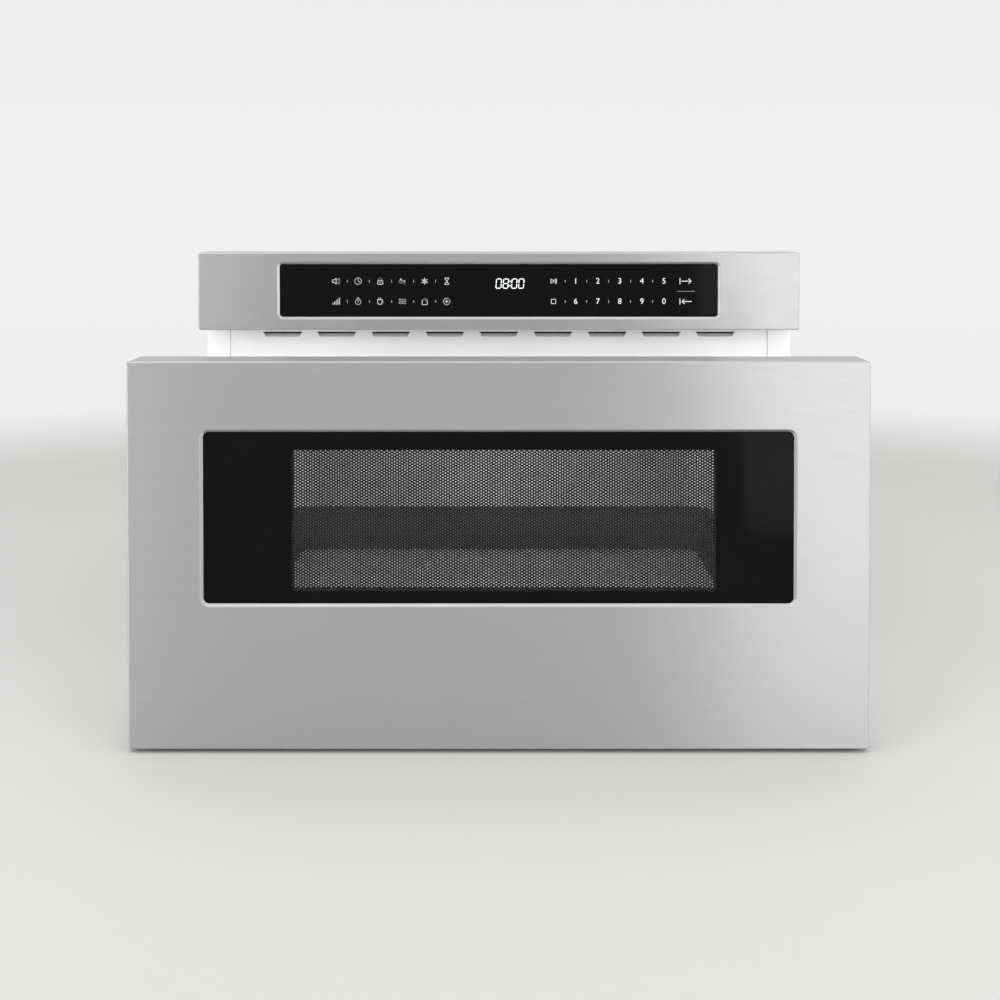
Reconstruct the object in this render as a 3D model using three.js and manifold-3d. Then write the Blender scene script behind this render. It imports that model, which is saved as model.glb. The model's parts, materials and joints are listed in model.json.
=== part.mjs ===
// A 24 inch microwave drawer: millimetres, +Z up, its front towards -Y.
// The origin is the middle of the base pan's underside. The drawer stands partly open.
import * as THREE from 'three';
import { mergeVertices } from 'three/addons/utils/BufferGeometryUtils.js';
import Module from 'manifold-3d';

const wasm = await Module();
wasm.setup();

// Clearances and sheet
const gap = 0.3; // between pieces that touch
const runningGap = 0.6; // between the members of a rail
const caseSheet = 1; // casing, cavity, face plate
const baseSheet = 1.2;
const flangeSheet = 1.5;
const overrun = 2; // how far a cutter passes the face it cuts

// Cooking space
const trayWidth = 440;
const trayDepth = 417;
const trayThickness = 4.1;
const trayCorner = 12;
const trayMargin = 14; // from the tray's side to the pan's wall
const trayFrontMargin = 5;
const trayBackMargin = 6.3;
const panHeight = 52;
const panSheet = 1;
const panCorner = 22;
const panRim = 2;
const panClearance = 3; // round the pan inside the cavity
const panBackClearance = 7;
const ovenHeight = 180; // from the tray to the ceiling

// Front
const fasciaHeight = 78.1;
const fasciaLap = 28.4; // how far the fascia stands above the casing
const frontGap = 3.4; // between the fascia and the drawer front
const frontFloorGap = 3;
const frontStandOff = 48; // front faces ahead of the face plate
const frontSheet = 1;
const frontEdge = 1.3; // rounding of the folded edges
const frontCorner = 1.1;
const frameDepth = 24; // of the folded dish behind the drawer's front
const fasciaDepth = 46;
const doorThickness = 45;
const lipDepth = 2.4; // bevelled lip round each glass
const lipBevel = 2.4;
const lipWall = 1.2;
const lipLand = 0.4; // flat inner edge of a lip
const restOpening = 300; // the drawer's place at rest
const travel = 390; // closed to fully open

// Windows
const windowWidth = 487;
const windowHeight = 145.4;
const windowRise = 117.2; // above the drawer front's lower edge
const windowCorner = 6;
const windowGlass = 4;
const glassLap = 6; // how far a glass reaches behind its lip
const controlWidth = 446.8;
const controlHeight = 58;
const controlRise = 10.8; // above the fascia's lower edge
const controlCorner = 4.5;
const controlGlassThickness = 3;
const screenOffset = 4.5; // the screen's middle, to the right of the door's
const screenWidth = 360;
const screenHeight = 128.6;
const screenRise = 123; // above the drawer front's lower edge
const screenLap = 5;
const screenSheet = 0.8;
const screenSetBack = 9.6; // behind the drawer's front face
const innerGlassThickness = 3;
const chokeWidth = 12;
const chokeThickness = 2;
const chokeLap = 3.6; // how far the choke cover clears the mouth above

// Rails
const railHeight = 45;
const railWidth = 10;
const railSheet = 1.2;
const railLip = 3;
const railLength = 450;
const railLift = 26.8; // above the base pan's floor
const railSetBack = 3;
const bracketReach = 12; // of a rail's bracket, towards the cavity
const bracketThickness = 2;
const bracketClearance = 11; // from the cavity's wall to the bracket
const slotClearance = 1.5;

// Drive
const gearModule = 2;
const pinionTeeth = 18;
const backlash = 0.3;
const gearWidth = 9;
const rackHeight = 11;
const rackBack = 9; // of solid bar behind the teeth
const rackFootWidth = 40; // against the door's back
const rackFootHeight = 18;
const pinionSetBack = 45; // behind the face plate
const shaftRadius = 4;
const shaftClearance = 0.3;
const gearboxHeight = 28;
const gearboxDepth = 58;
const gearboxWidth = 62;
const gearboxShaftInset = 20;
const driveMotorRadius = 18;
const driveMotorLength = 66;
const driveHeadroom = 15.9; // from the rack to the cavity

// Microwave feed
const stirrerRadius = 80;
const stirrerSetBack = 217; // behind the cabinet's front plane
const waveguideHeight = 24;
const waveguideWidth = 80;
const waveguideLength = 122;
const magnetronAlong = 72; // from the stirrer housing's wall
const magnetronWidth = 84;
const magnetronDepth = 62;
const magnetronHeight = 80;
const filterCanHeight = 22; // at the top of the magnetron
const finCount = 8;
const filterCanWidth = 44; // on the magnetron's end
const filterCanDepth = 52;
const topClearance = 22; // over the magnetron
const stirrerMotorRadius = 25;
const stirrerMotorHeight = 18;
const stirrerShaft = 3;
const bladeLength = 68;
const coverSide = 176;
const coverThickness = 1.5;

// Air
const shroudWidth = 104;
const shroudDepth = 32;
const shroudWeb = 4; // behind the fan
const shroudPort = 20; // each air port's middle, from the shaft
const shroudPortWidth = 28;
const fanRadius = 44;
const fanTipGap = 0.8;
const fanBlades = 5;
const fanBladeChord = 16;
const fanBladeThickness = 1.6;
const fanBladeInset = 3; // of a blade's tip, inside the fan's radius
const fanHubRadius = 12;
const fanHubLength = 16;
const fanMotorRadius = 27;
const fanMotorLength = 34;
const ductSheet = 1.2;
const ductGap = 2;
const ductRun = 80; // from the magnetron to the fan shroud
const exhaustHeight = 34;
const exhaustInlet = 40; // along Y, in the duct's floor at its back
const exhaustInlets = 3;
const exhaustBar = 12; // left between two inlets
const exhaustDepth = 68;
const exhaustWidth = 500;
const louvreCount = 9;
const louvrePitch = 56.2;
const louvreWidth = 41.3;
const louvreHeight = 5.2;
const louvreSlit = 2;
const louvreTaper = 3; // at each end, from the slit down to the foot
const louvreDepth = 5;
const louvreDrop = 5.3; // below the fascia
const ventCount = 8;
const ventPitch = 12;
const ventRise = 30; // above the cavity's feed
const ventWidth = 4;
const ventLength = 46;

// High voltage, at the back
const coreWidth = 104;
const coreDepth = 58;
const coreHeight = 92;
const coreLimb = 34;
const coreYoke = 17;
const windingOverhang = 14;
const canWidth = 54;
const canDepth = 34;
const canHeight = 96;
const terminalHeight = 9;
const bayClearance = 11; // each side of the transformer's winding
const diodeSize = 12;

// Boards and light
const boardThickness = 1.6;
const bossRadius = 3.5;
const bossHeight = 8;
const housingWidth = 472;
const housingWall = 2;
const displayWidth = 40;
const displayHeight = 16;
const displayDepth = 7;
const boardInset = 3;
const powerBoardWidth = 120;
const powerBoardDepth = 160;
const filterBoardWidth = 84;
const filterBoardDepth = 62;
const boardTrayMargin = 12; // of the tray, past its board
const boardTrayHeight = 8;
const filterShift = 50; // of the filter board's middle, from the gland's
const lampSide = 64;
const lampGap = 4.3; // from the board tray
const lampOverlap = 13; // of the lamp's middle, past the board's side
const lampHeight = 56;
const bulbRadius = 11;
const bulbLength = 35;
const bulbSocket = 14;
const bulbNeck = 5; // radius
const bulbNeckLength = 6;
const bulbShoulder = 18; // below the neck's start
const bulbWaist = 4; // the straight stretch at full width
const bulbDome = 3;
const bulbCrown = 7; // the dome's radius at its rim
const glandInset = 60; // of the gland's middle, from the casing's side
const glandBore = 5;
const glandWall = 3;
const glandFlange = 12;
const glandThickness = 4;

// Interlock and mounting
const strikerReach = 32;
const strikerHeight = 14;
const strikerWidth = 4;
const strikerRise = 207; // above the drawer front's lower edge
const switchWidth = 12;
const switchHeight = 20;
const switchDepth = 28;
const plungerSide = 4;
const plungerTravel = 2;
const plungerHead = 3;
const flangeReach = 22.05;
const frontOverlap = 0.55; // of the front, past each flange's edge
const flangeLeg = 30;
const plateLap = 18; // of the face plate above the casing
const screwRadius = 2.25;
const screwCount = 4;

// Heights, from the base pan up
const railZ = baseSheet + railLift + railHeight / 2;
const gearboxTop = baseSheet + gap + gearboxHeight;
const rackBottom = gearboxTop + 2 * gap;
const rackTop = rackBottom + rackHeight;
const cavityUnder = rackTop + driveHeadroom;
const cavityFloor = cavityUnder + caseSheet;
const panUnder = cavityFloor + panClearance;
const trayBottom = panUnder + panSheet + gap;
const trayTop = trayBottom + trayThickness;
const panTop = panUnder + panHeight;
const cavityTop = trayTop + ovenHeight;
const ceiling = cavityTop + caseSheet;
const feedTop = ceiling + gap + waveguideHeight;
const magnetronTop = feedTop + gap + magnetronHeight;
const bodyHeight = magnetronTop + topClearance;
const fasciaTop = bodyHeight + fasciaLap;
const fasciaBottom = fasciaTop - fasciaHeight;
const doorTop = fasciaBottom - frontGap;
const doorBottom = frontFloorGap;
const plateTop = bodyHeight + plateLap;

// Widths, from the middle out
const panInner = trayWidth / 2 + trayMargin;
const panOuter = panInner + panSheet;
const cavityInner = panOuter + panRim + panClearance;
const cavityOuter = cavityInner + caseSheet;
const bracketInner = cavityOuter + bracketClearance;
const railCrown = bracketInner + bracketReach;
const middleStep = railSheet + runningGap;
const railDepth = railWidth + middleStep;
const railSeat = railCrown + railDepth;
const baseInner = railSeat + gap;
const baseOuter = baseInner + baseSheet;
const coverInner = baseOuter + gap;
const coverOuter = coverInner + caseSheet;
const bodySide = coverOuter + gap + flangeSheet;
const flangeEdge = bodySide + flangeReach;
const frontWidth = 2 * (flangeEdge + frontOverlap);

// Depths, from the cabinet's front plane back
const interiorDepth = trayFrontMargin + trayDepth + trayBackMargin;
const bayDepth = coreDepth + 2 * (windingOverhang + bayClearance);
const panFrontInset = frontStandOff + caseSheet - doorThickness; // pan front to the plane, drawer shut
const cavityDepth = interiorDepth - panFrontInset + panSheet + panRim + panBackClearance;
const bodyDepth = cavityDepth + caseSheet + bayDepth + caseSheet;
const cabinetY = -bodyDepth / 2;
const plateY = cabinetY - caseSheet;
const frontY = plateY - frontStandOff;
const doorBackY = frontY + doorThickness;
const insideY = cabinetY + gap;
const cavityBack = cabinetY + cavityDepth;
const bayY = cavityBack + caseSheet;
const rearY = bodyDepth / 2;
const rearInner = rearY - caseSheet;
const bayMiddle = (bayY + rearInner) / 2;

// Finishes
const finishes = {
  stainless: { color: 0xb9bab9, roughness: 0.32, metalness: 1 },
  zinc: { color: 0x9fa4a8, roughness: 0.45, metalness: 0.9 },
  whitePaint: { color: 0xf1f2f0, roughness: 0.4, metalness: 0 },
  greyEnamel: { color: 0x8b8d8f, roughness: 0.45, metalness: 0 },
  blackGlass: { color: 0x17181a, roughness: 0.08, metalness: 0 },
  clearGlass: { color: 0xc9d2cf, roughness: 0.05, metalness: 0, transparent: true, opacity: 0.35 },
  ceramic: { color: 0xeceae4, roughness: 0.2, metalness: 0 },
  blackPlastic: { color: 0x222325, roughness: 0.55, metalness: 0 },
  greyPlastic: { color: 0x8b8f92, roughness: 0.6, metalness: 0 },
  board: { color: 0x2f6b3c, roughness: 0.6, metalness: 0 },
  darkSteel: { color: 0x4b4e52, roughness: 0.5, metalness: 0.7 },
  copper: { color: 0x9a5a34, roughness: 0.5, metalness: 0.4 },
  mica: { color: 0xb9b19c, roughness: 0.6, metalness: 0 },
};

const part = new THREE.Group();
const drawer = new THREE.Group(); // modelled shut, placed at its rest opening
drawer.position.y = -restOpening;
part.add(drawer);

// Spans along one axis
const around = (middle, size) => [middle - size / 2, middle + size / 2];
const from = (start, size) => [start, start + size];
const upTo = (end, size) => [end - size, end];
const sided = (side, low, high) => (side > 0 ? [low, high] : [-high, -low]);

// Shapes and blocks
function block([x0, x1], [y0, y1], [z0, z1]) {
  const box = new THREE.BoxGeometry(x1 - x0, y1 - y0, z1 - z0);
  return box.translate((x0 + x1) / 2, (y0 + y1) / 2, (z0 + z1) / 2);
}

function roundedRect(width, height, radius, x = 0, y = 0) {
  const shape = new THREE.Shape();
  const right = x + width / 2 - radius;
  const left = x - width / 2 + radius;
  const top = y + height / 2 - radius;
  const bottom = y - height / 2 + radius;
  shape.absarc(right, bottom, radius, -Math.PI / 2, 0);
  shape.absarc(right, top, radius, 0, Math.PI / 2);
  shape.absarc(left, top, radius, Math.PI / 2, Math.PI);
  shape.absarc(left, bottom, radius, Math.PI, 1.5 * Math.PI);
  shape.closePath();
  return shape;
}

function disc(radius, x = 0, y = 0) {
  const shape = new THREE.Shape();
  shape.absarc(x, y, radius, 0, 2 * Math.PI);
  return shape;
}

function outline(...points) {
  return new THREE.Shape(points.map(([x, y]) => new THREE.Vector2(x, y)));
}

function extrude(shape, depth, curveSegments) {
  return new THREE.ExtrudeGeometry(shape, { depth, bevelEnabled: false, curveSegments });
}

// A shape drawn in X and Y, swept along Z.
function alongZ(shape, [z0, z1], fineness = 4) {
  return extrude(shape, z1 - z0, fineness).translate(0, 0, z0);
}

// A shape drawn in X and Z, swept along Y.
function alongY(shape, [y0, y1], fineness = 4) {
  return extrude(shape, y1 - y0, fineness).rotateX(Math.PI / 2).translate(0, y1, 0);
}

// A shape drawn in Y and Z, swept along X.
function alongX(shape, [x0, x1], fineness = 4) {
  const turn = new THREE.Matrix4().set(0, 0, 1, 0, 1, 0, 0, 0, 0, 1, 0, 0, 0, 0, 0, 1);
  return extrude(shape, x1 - x0, fineness).applyMatrix4(turn).translate(x0, 0, 0);
}

// Joins and cuts
function solid(geometry) {
  const bare = geometry.clone();
  bare.deleteAttribute('normal');
  bare.deleteAttribute('uv');
  const merged = mergeVertices(bare, 1e-4);
  const vertProperties = new Float32Array(merged.attributes.position.array);
  const triVerts = new Uint32Array(merged.index.array);
  return new wasm.Manifold(new wasm.Mesh({ numProp: 3, vertProperties, triVerts }));
}

function geometryOf(made) {
  const mesh = made.getMesh();
  const geometry = new THREE.BufferGeometry();
  geometry.setAttribute('position', new THREE.BufferAttribute(mesh.vertProperties, 3));
  geometry.setIndex(new THREE.BufferAttribute(mesh.triVerts, 1));
  geometry.computeVertexNormals();
  return geometry;
}

const join = (first, ...others) =>
  geometryOf(others.reduce((made, other) => made.add(solid(other)), solid(first)));

const cut = (first, ...cutters) =>
  geometryOf(cutters.reduce((made, cutter) => made.subtract(solid(cutter)), solid(first)));

function add(group, name, finish, geometry) {
  const material = new THREE.MeshStandardMaterial(finishes[finish]);
  const mesh = new THREE.Mesh(geometry, material);
  mesh.name = name;
  group.add(mesh);
}

const sideName = (side) => (side > 0 ? 'right' : 'left');

// A sheet-metal sleeve, open at both ends of Y.
function sleeve([x0, x1], span, [z0, z1], wall) {
  const longer = [span[0] - overrun, span[1] + overrun];
  const bore = block([x0 + wall, x1 - wall], longer, [z0 + wall, z1 - wall]);
  return cut(block([x0, x1], span, [z0, z1]), bore);
}

// ---- Casing ----
const ventStart = feedTop + ventRise;

function basePan() {
  const wallTop = railZ + railHeight / 2 + 7;
  const section = outline(
    [-baseOuter, 0], [baseOuter, 0], [baseOuter, wallTop], [baseInner, wallTop],
    [baseInner, baseSheet], [-baseInner, baseSheet], [-baseInner, wallTop], [-baseOuter, wallTop],
  );
  const pan = alongY(section, [insideY, rearInner - gap]);
  const slots = [];
  for (let i = 0; i < ventCount; i += 1) {
    const x = (i - (ventCount - 1) / 2) * 2 * ventPitch;
    slots.push(block(around(x, ventWidth), around(-ventLength, ventLength), around(0, 4 * baseSheet)));
  }
  add(part, 'base_pan', 'zinc', cut(pan, ...slots));
}

function chassisCover() {
  const foot = baseSheet + gap;
  const roof = bodyHeight - caseSheet;
  const section = outline(
    [-coverOuter, foot], [-coverInner, foot], [-coverInner, roof], [coverInner, roof],
    [coverInner, foot], [coverOuter, foot], [coverOuter, bodyHeight], [-coverOuter, bodyHeight],
  );
  const slots = [];
  for (const side of [-1, 1]) {
    for (let i = 0; i < ventCount; i += 1) {
      const y = bayMiddle - i * ventPitch;
      const through = sided(side, coverInner - overrun, coverOuter + overrun);
      slots.push(block(through, around(y, ventWidth), from(ventStart, ventLength)));
    }
  }
  add(part, 'chassis_cover', 'zinc', cut(alongY(section, [insideY, rearY]), ...slots));
}

const fanX = () => stirrerRadius + magnetronAlong;
const fanZ = (feedTop + gap + magnetronTop) / 2;
const glandX = -(coverInner - glandInset);
const glandZ = railZ;

function rearPanel() {
  const sheet = block(
    [-coverInner + gap, coverInner - gap], [rearInner, rearY],
    [baseSheet + gap, bodyHeight - caseSheet - gap],
  );
  const through = [rearInner - overrun, rearY + overrun];
  const openings = [alongY(disc(glandBore + glandWall + gap, glandX, glandZ), through, 8)];
  for (const x of [fanX(), -fanX()]) {
    for (let i = 0; i < ventCount; i += 1) {
      const z = fanZ + (i - (ventCount - 1) / 2) * ventPitch * 0.8;
      openings.push(block(around(x, 2 * ventLength), through, around(z, ventWidth)));
    }
  }
  add(part, 'rear_panel', 'zinc', cut(sheet, ...openings));
}

function cordGland() {
  const neck = alongY(disc(glandBore + glandWall, glandX, glandZ), [rearInner - glandThickness, rearY + 1], 8);
  const flange = alongY(disc(glandFlange, glandX, glandZ), from(rearY + gap, glandThickness), 8);
  const deep = [rearInner - 3 * glandThickness, rearY + 3 * glandThickness];
  const bore = alongY(disc(glandBore, glandX, glandZ), deep, 8);
  add(part, 'cord_gland', 'blackPlastic', cut(join(neck, flange), bore));
}

const strikerZ = doorBottom + strikerRise;
const strikerX = (bracketInner + railCrown) / 2;

// The end of a pressed louvre: a wall of the sheet's thickness behind a triangle.
function louvreEnd(side, corners) {
  const [top, foot, back] = corners;
  const face = side < 0 ? [top, foot, back] : [top, back, foot];
  const behind = face.map(([x, y, z]) => [x + side * caseSheet, y, z]);
  const wall = new THREE.BufferGeometry();
  wall.setAttribute('position', new THREE.Float32BufferAttribute([...face, ...behind].flat(), 3));
  wall.setIndex([0, 1, 2, 3, 5, 4, 0, 3, 4, 0, 4, 1, 1, 4, 5, 1, 5, 2, 2, 5, 3, 2, 3, 0]);
  return wall;
}

// A louvre's hole and the sheet pressed in behind it: a sloping lip with a tapered end at each side.
function louvre(middle) {
  const top = fasciaBottom - louvreDrop;
  const foot = top - louvreHeight;
  const wide = louvreWidth / 2;
  const narrow = wide - louvreTaper;
  const back = plateY + louvreDepth;
  const hole = outline(
    [middle - narrow, foot], [middle + narrow, foot], [middle + wide, top], [middle - wide, top],
  );
  const lip = outline(
    [plateY, foot - caseSheet], [plateY, foot], [back, top - louvreSlit], [back, top - louvreSlit - caseSheet],
  );
  const ends = [-1, 1].map((side) => louvreEnd(side, [
    [middle + side * wide, plateY, top],
    [middle + side * narrow, plateY, foot - caseSheet / 2],
    [middle + side * narrow, back, top - louvreSlit - caseSheet / 2],
  ]));
  const pressed = join(alongX(lip, around(middle, 2 * (narrow + caseSheet))), ...ends);
  return { hole: alongY(hole, [plateY - overrun, plateY + caseSheet + overrun]), pressed };
}

function facePlate() {
  let plate = block([-coverOuter, coverOuter], [plateY, cabinetY], [doorBottom, plateTop]);
  const through = [plateY - overrun, cabinetY + overrun];
  const openings = [block([-cavityInner, cavityInner], through, [cavityFloor, cavityTop])];
  const railRoom = around(railZ, railHeight + 2 * slotClearance);
  for (const side of [-1, 1]) {
    openings.push(block(sided(side, bracketInner - slotClearance, railSeat), through, railRoom));
    const striker = sided(side, strikerX - strikerWidth, strikerX + strikerWidth);
    openings.push(block(striker, through, around(strikerZ, strikerHeight + 8)));
  }
  const rackRoom = [rackBottom - slotClearance, rackTop + slotClearance];
  openings.push(block([-rackBack - gearModule - slotClearance, gearModule + slotClearance], through, rackRoom));
  const louvres = [];
  for (let i = 0; i < louvreCount; i += 1) {
    louvres.push(louvre((i - (louvreCount - 1) / 2) * louvrePitch));
  }
  openings.push(...louvres.map(({ hole }) => hole));
  plate = join(cut(plate, ...openings), ...louvres.map(({ pressed }) => pressed));
  add(part, 'face_plate', 'whitePaint', plate);
}

function mountingFlanges() {
  const height = [doorBottom + 5, bodyHeight - 2];
  for (const side of [-1, 1]) {
    const along = [cabinetY - flangeSheet, cabinetY + flangeLeg];
    const leg = block(sided(side, coverOuter + gap, bodySide), along, height);
    const face = sided(side, coverOuter + gap, flangeEdge);
    const front = block(face, [cabinetY - flangeSheet, cabinetY], height);
    const holes = [];
    for (let i = 0; i < screwCount; i += 1) {
      const z = height[0] + ((height[1] - height[0]) * (i + 0.5)) / screwCount;
      const hole = disc(screwRadius, (side * (bodySide + flangeEdge)) / 2, z);
      holes.push(alongY(hole, [cabinetY - 2 * flangeSheet, cabinetY + flangeSheet], 6));
    }
    add(part, `${sideName(side)}_mounting_flange`, 'whitePaint', cut(join(leg, front), ...holes));
  }
}

// ---- Control panel ----
// A folded front: a sheet with rounded edges and sides turned back, and a window with a bevelled lip.
function pressedFront(height, depth, bottom, opening) {
  const middle = bottom + height / 2;
  const blankShape = roundedRect(frontWidth - 2 * frontEdge, height - 2 * frontEdge, frontCorner, 0, middle);
  const bevel = { bevelEnabled: true, bevelThickness: frontEdge, bevelSize: frontEdge, bevelSegments: 3 };
  const blank = new THREE.ExtrudeGeometry(blankShape, { depth, curveSegments: 2, ...bevel });
  blank.rotateX(Math.PI / 2).translate(0, frontY + depth + frontEdge, 0);
  const half = frontWidth / 2;
  const behind = block(
    [-half - overrun, half + overrun], [frontY + depth, frontY + 2 * depth],
    around(middle, height + 2 * overrun),
  );
  const inside = block(
    [-half + frontSheet, half - frontSheet], [frontY + frontSheet, frontY + 2 * depth],
    [bottom + frontSheet, bottom + height - frontSheet],
  );
  const { width, rise, corner } = opening;
  const z = bottom + rise + opening.height / 2;
  const grown = 2 * lipWall;
  const ring = roundedRect(width + grown, opening.height + grown, corner + lipWall, 0, z);
  const lip = alongY(ring, [frontY + frontSheet / 2, frontY + lipDepth], 4);
  const inner = roundedRect(width - 2 * lipBevel, opening.height - 2 * lipBevel, corner - lipBevel / 2, 0, z);
  const taper = new THREE.ExtrudeGeometry(inner, {
    depth: 2 * lipDepth, curveSegments: 4, bevelEnabled: true, bevelSegments: 1,
    bevelThickness: lipDepth - lipLand + gap, bevelSize: lipBevel + gap,
  });
  taper.rotateX(Math.PI / 2).translate(0, frontY - gap, 0);
  const through = alongY(inner, [frontY - overrun, frontY + lipDepth + overrun], 4);
  return cut(join(cut(blank, behind, inside), lip), taper, through);
}

const controlWindow = { width: controlWidth, height: controlHeight, rise: controlRise, corner: controlCorner };
const controlZ = fasciaBottom + controlRise + controlHeight / 2;
const glassWidth = controlWidth - 2 * lipBevel + glassLap;
const glassHeight = controlHeight - 2 * lipBevel + glassLap;
const glassY = frontY + lipDepth + gap;
const glassBackY = glassY + controlGlassThickness;
const displayY = glassBackY + gap;
const boardY = displayY + displayDepth + gap;
const displayX = 11.3; // the clock's middle, right of the fascia's

function controlPanel() {
  const fascia = pressedFront(fasciaHeight, fasciaDepth, fasciaBottom, controlWindow);
  add(part, 'control_fascia', 'stainless', fascia);
  const glass = alongY(roundedRect(glassWidth, glassHeight, controlCorner, 0, controlZ), [glassY, glassBackY]);
  add(part, 'control_glass', 'blackGlass', glass);
  const upright = around(controlZ, displayHeight);
  const display = block(around(displayX, displayWidth), from(displayY, displayDepth), upright);
  add(part, 'display_module', 'blackPlastic', display);
  const boardHeight = glassHeight - 2 * boardInset;
  const boardBack = boardY + boardThickness;
  const boardWidth = glassWidth - 2 * boardInset;
  const board = block(around(0, boardWidth), [boardY, boardBack], around(controlZ, boardHeight));
  add(part, 'control_board', 'board', board);
  const back = plateY - gap;
  const low = fasciaBottom + frontSheet + gap;
  const high = fasciaTop - frontSheet - gap;
  const shell = block(around(0, housingWidth), [glassBackY + gap, back], [low, high]);
  const hollow = block(
    around(0, housingWidth - 2 * housingWall), [glassBackY - overrun, back - housingWall],
    [low + housingWall, high - housingWall],
  );
  const bosses = [];
  for (const x of [-0.42, -0.14, 0.14, 0.42]) {
    const foot = disc(bossRadius, x * glassWidth, controlZ);
    bosses.push(alongY(foot, [boardBack + gap, back - housingWall / 2], 5));
  }
  add(part, 'control_housing', 'blackPlastic', join(cut(shell, hollow), ...bosses));
}

// ---- Cavity and microwave feed ----
const stirrerY = cabinetY + stirrerSetBack;
const boardTrayX = -cavityInner + powerBoardWidth / 2 + boardTrayMargin;
const boardTrayWidth = powerBoardWidth + boardTrayMargin;
const boardTrayDepth = powerBoardDepth + boardTrayMargin;
const lampX = boardTrayX + powerBoardWidth / 2 + lampOverlap;
const lampY = stirrerY + boardTrayDepth / 2 + lampGap + lampSide / 2;

function cavityShell() {
  const outer = block([-cavityOuter, cavityOuter], [insideY, cavityBack + caseSheet], [cavityUnder, ceiling]);
  const inner = block([-cavityInner, cavityInner], [insideY - overrun, cavityBack], [cavityFloor, cavityTop]);
  const roof = [cavityTop - overrun, ceiling + overrun];
  const openings = [inner, alongZ(disc(stirrerRadius - 5, 0, stirrerY), roof, 14)];
  for (const dx of [-10, 0, 10]) {
    for (const dy of [-10, 0, 10]) {
      openings.push(alongZ(disc(2.6, lampX + dx, lampY + dy), roof, 4));
    }
  }
  add(part, 'cavity_shell', 'whitePaint', cut(outer, ...openings));
}

function stirrer() {
  const base = ceiling + gap;
  const middle = [0, stirrerY];
  const drum = alongZ(disc(stirrerRadius, ...middle), [base, feedTop], 14);
  const hollow = alongZ(disc(stirrerRadius - caseSheet, ...middle), [base - overrun, feedTop - caseSheet], 14);
  const shaftHole = alongZ(disc(stirrerShaft + 2, ...middle), [base, feedTop + overrun], 8);
  const feed = [base + caseSheet, feedTop - caseSheet - overrun];
  const inlet = block([stirrerRadius / 2, stirrerRadius + overrun], around(stirrerY, waveguideWidth - 8), feed);
  add(part, 'stirrer_housing', 'zinc', cut(drum, hollow, shaftHole, inlet));
  const plate = roundedRect(coverSide, coverSide, 10, ...middle);
  add(part, 'stirrer_cover', 'mica', alongZ(plate, upTo(cavityTop - gap, coverThickness)));

  const motorBottom = feedTop + gap;
  const can = alongZ(disc(stirrerMotorRadius, ...middle), from(motorBottom, stirrerMotorHeight), 10);
  const bore = disc(stirrerShaft + shaftClearance, ...middle);
  const boreTop = motorBottom + 10;
  const motor = cut(can, alongZ(bore, [motorBottom - overrun, boreTop], 8));
  add(part, 'stirrer_motor', 'zinc', motor);

  const bladeZ = base + 10;
  const spindle = alongZ(disc(stirrerShaft), [bladeZ - 4, boreTop - 2 * gap], 8);
  const hub = alongZ(disc(12), [bladeZ - 4, bladeZ + 4], 6);
  const blades = [];
  for (let i = 0; i < 3; i += 1) {
    const blade = alongX(outline([-14, -0.6], [14, -0.6], [14, 0.6], [-14, 0.6]), [4, bladeLength]);
    blade.rotateX(0.2).rotateZ((i * 2 * Math.PI) / 3 + 0.4).translate(0, 0, bladeZ);
    blades.push(blade);
  }
  add(part, 'stirrer_blade', 'zinc', join(spindle, hub, ...blades).translate(0, stirrerY, 0));
}

function waveguideAndMagnetron() {
  const start = stirrerRadius + gap;
  const span = around(stirrerY, waveguideWidth);
  const height = [ceiling + gap, feedTop];
  const outer = block(from(start, waveguideLength), span, height);
  const bore = block(
    [start - overrun, start + waveguideLength - caseSheet], [span[0] + caseSheet, span[1] - caseSheet],
    [height[0] + caseSheet, height[1] - caseSheet],
  );
  const magnetronX = start + magnetronAlong - gap;
  const antennaHole = alongZ(disc(13, magnetronX, stirrerY), [feedTop - 4, feedTop + overrun], 8);
  add(part, 'waveguide', 'zinc', cut(outer, bore, antennaHole));

  const low = feedTop + gap;
  const wide = around(magnetronX, magnetronWidth);
  const deep = around(stirrerY, magnetronDepth);
  const bodyTop = magnetronTop - filterCanHeight;
  const pieces = [block(wide, deep, from(low, 3)), block(wide, deep, upTo(bodyTop, 3))];
  for (const side of [-1, 1]) {
    const edge = magnetronX + (side * (magnetronWidth - 3)) / 2;
    pieces.push(block(around(edge, 3), deep, [low, bodyTop]));
  }
  pieces.push(alongZ(disc(20, magnetronX, stirrerY), [low, bodyTop], 8));
  for (let i = 0; i < finCount; i += 1) {
    const z = low + 3 + ((bodyTop - low - 6) * (i + 0.5)) / finCount;
    pieces.push(block(wide, around(stirrerY, magnetronDepth - 10), around(z, 0.8)));
  }
  const filterCan = [around(magnetronX, filterCanWidth), around(stirrerY, filterCanDepth)];
  pieces.push(block(...filterCan, [bodyTop - 1, magnetronTop]));
  pieces.push(alongZ(disc(10, magnetronX, stirrerY), [feedTop - waveguideHeight + 8, low + 1], 8));
  add(part, 'magnetron', 'zinc', join(...pieces));
}

// ---- Air ----
const shroudY = stirrerY + magnetronDepth / 2 + ductRun;

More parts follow.
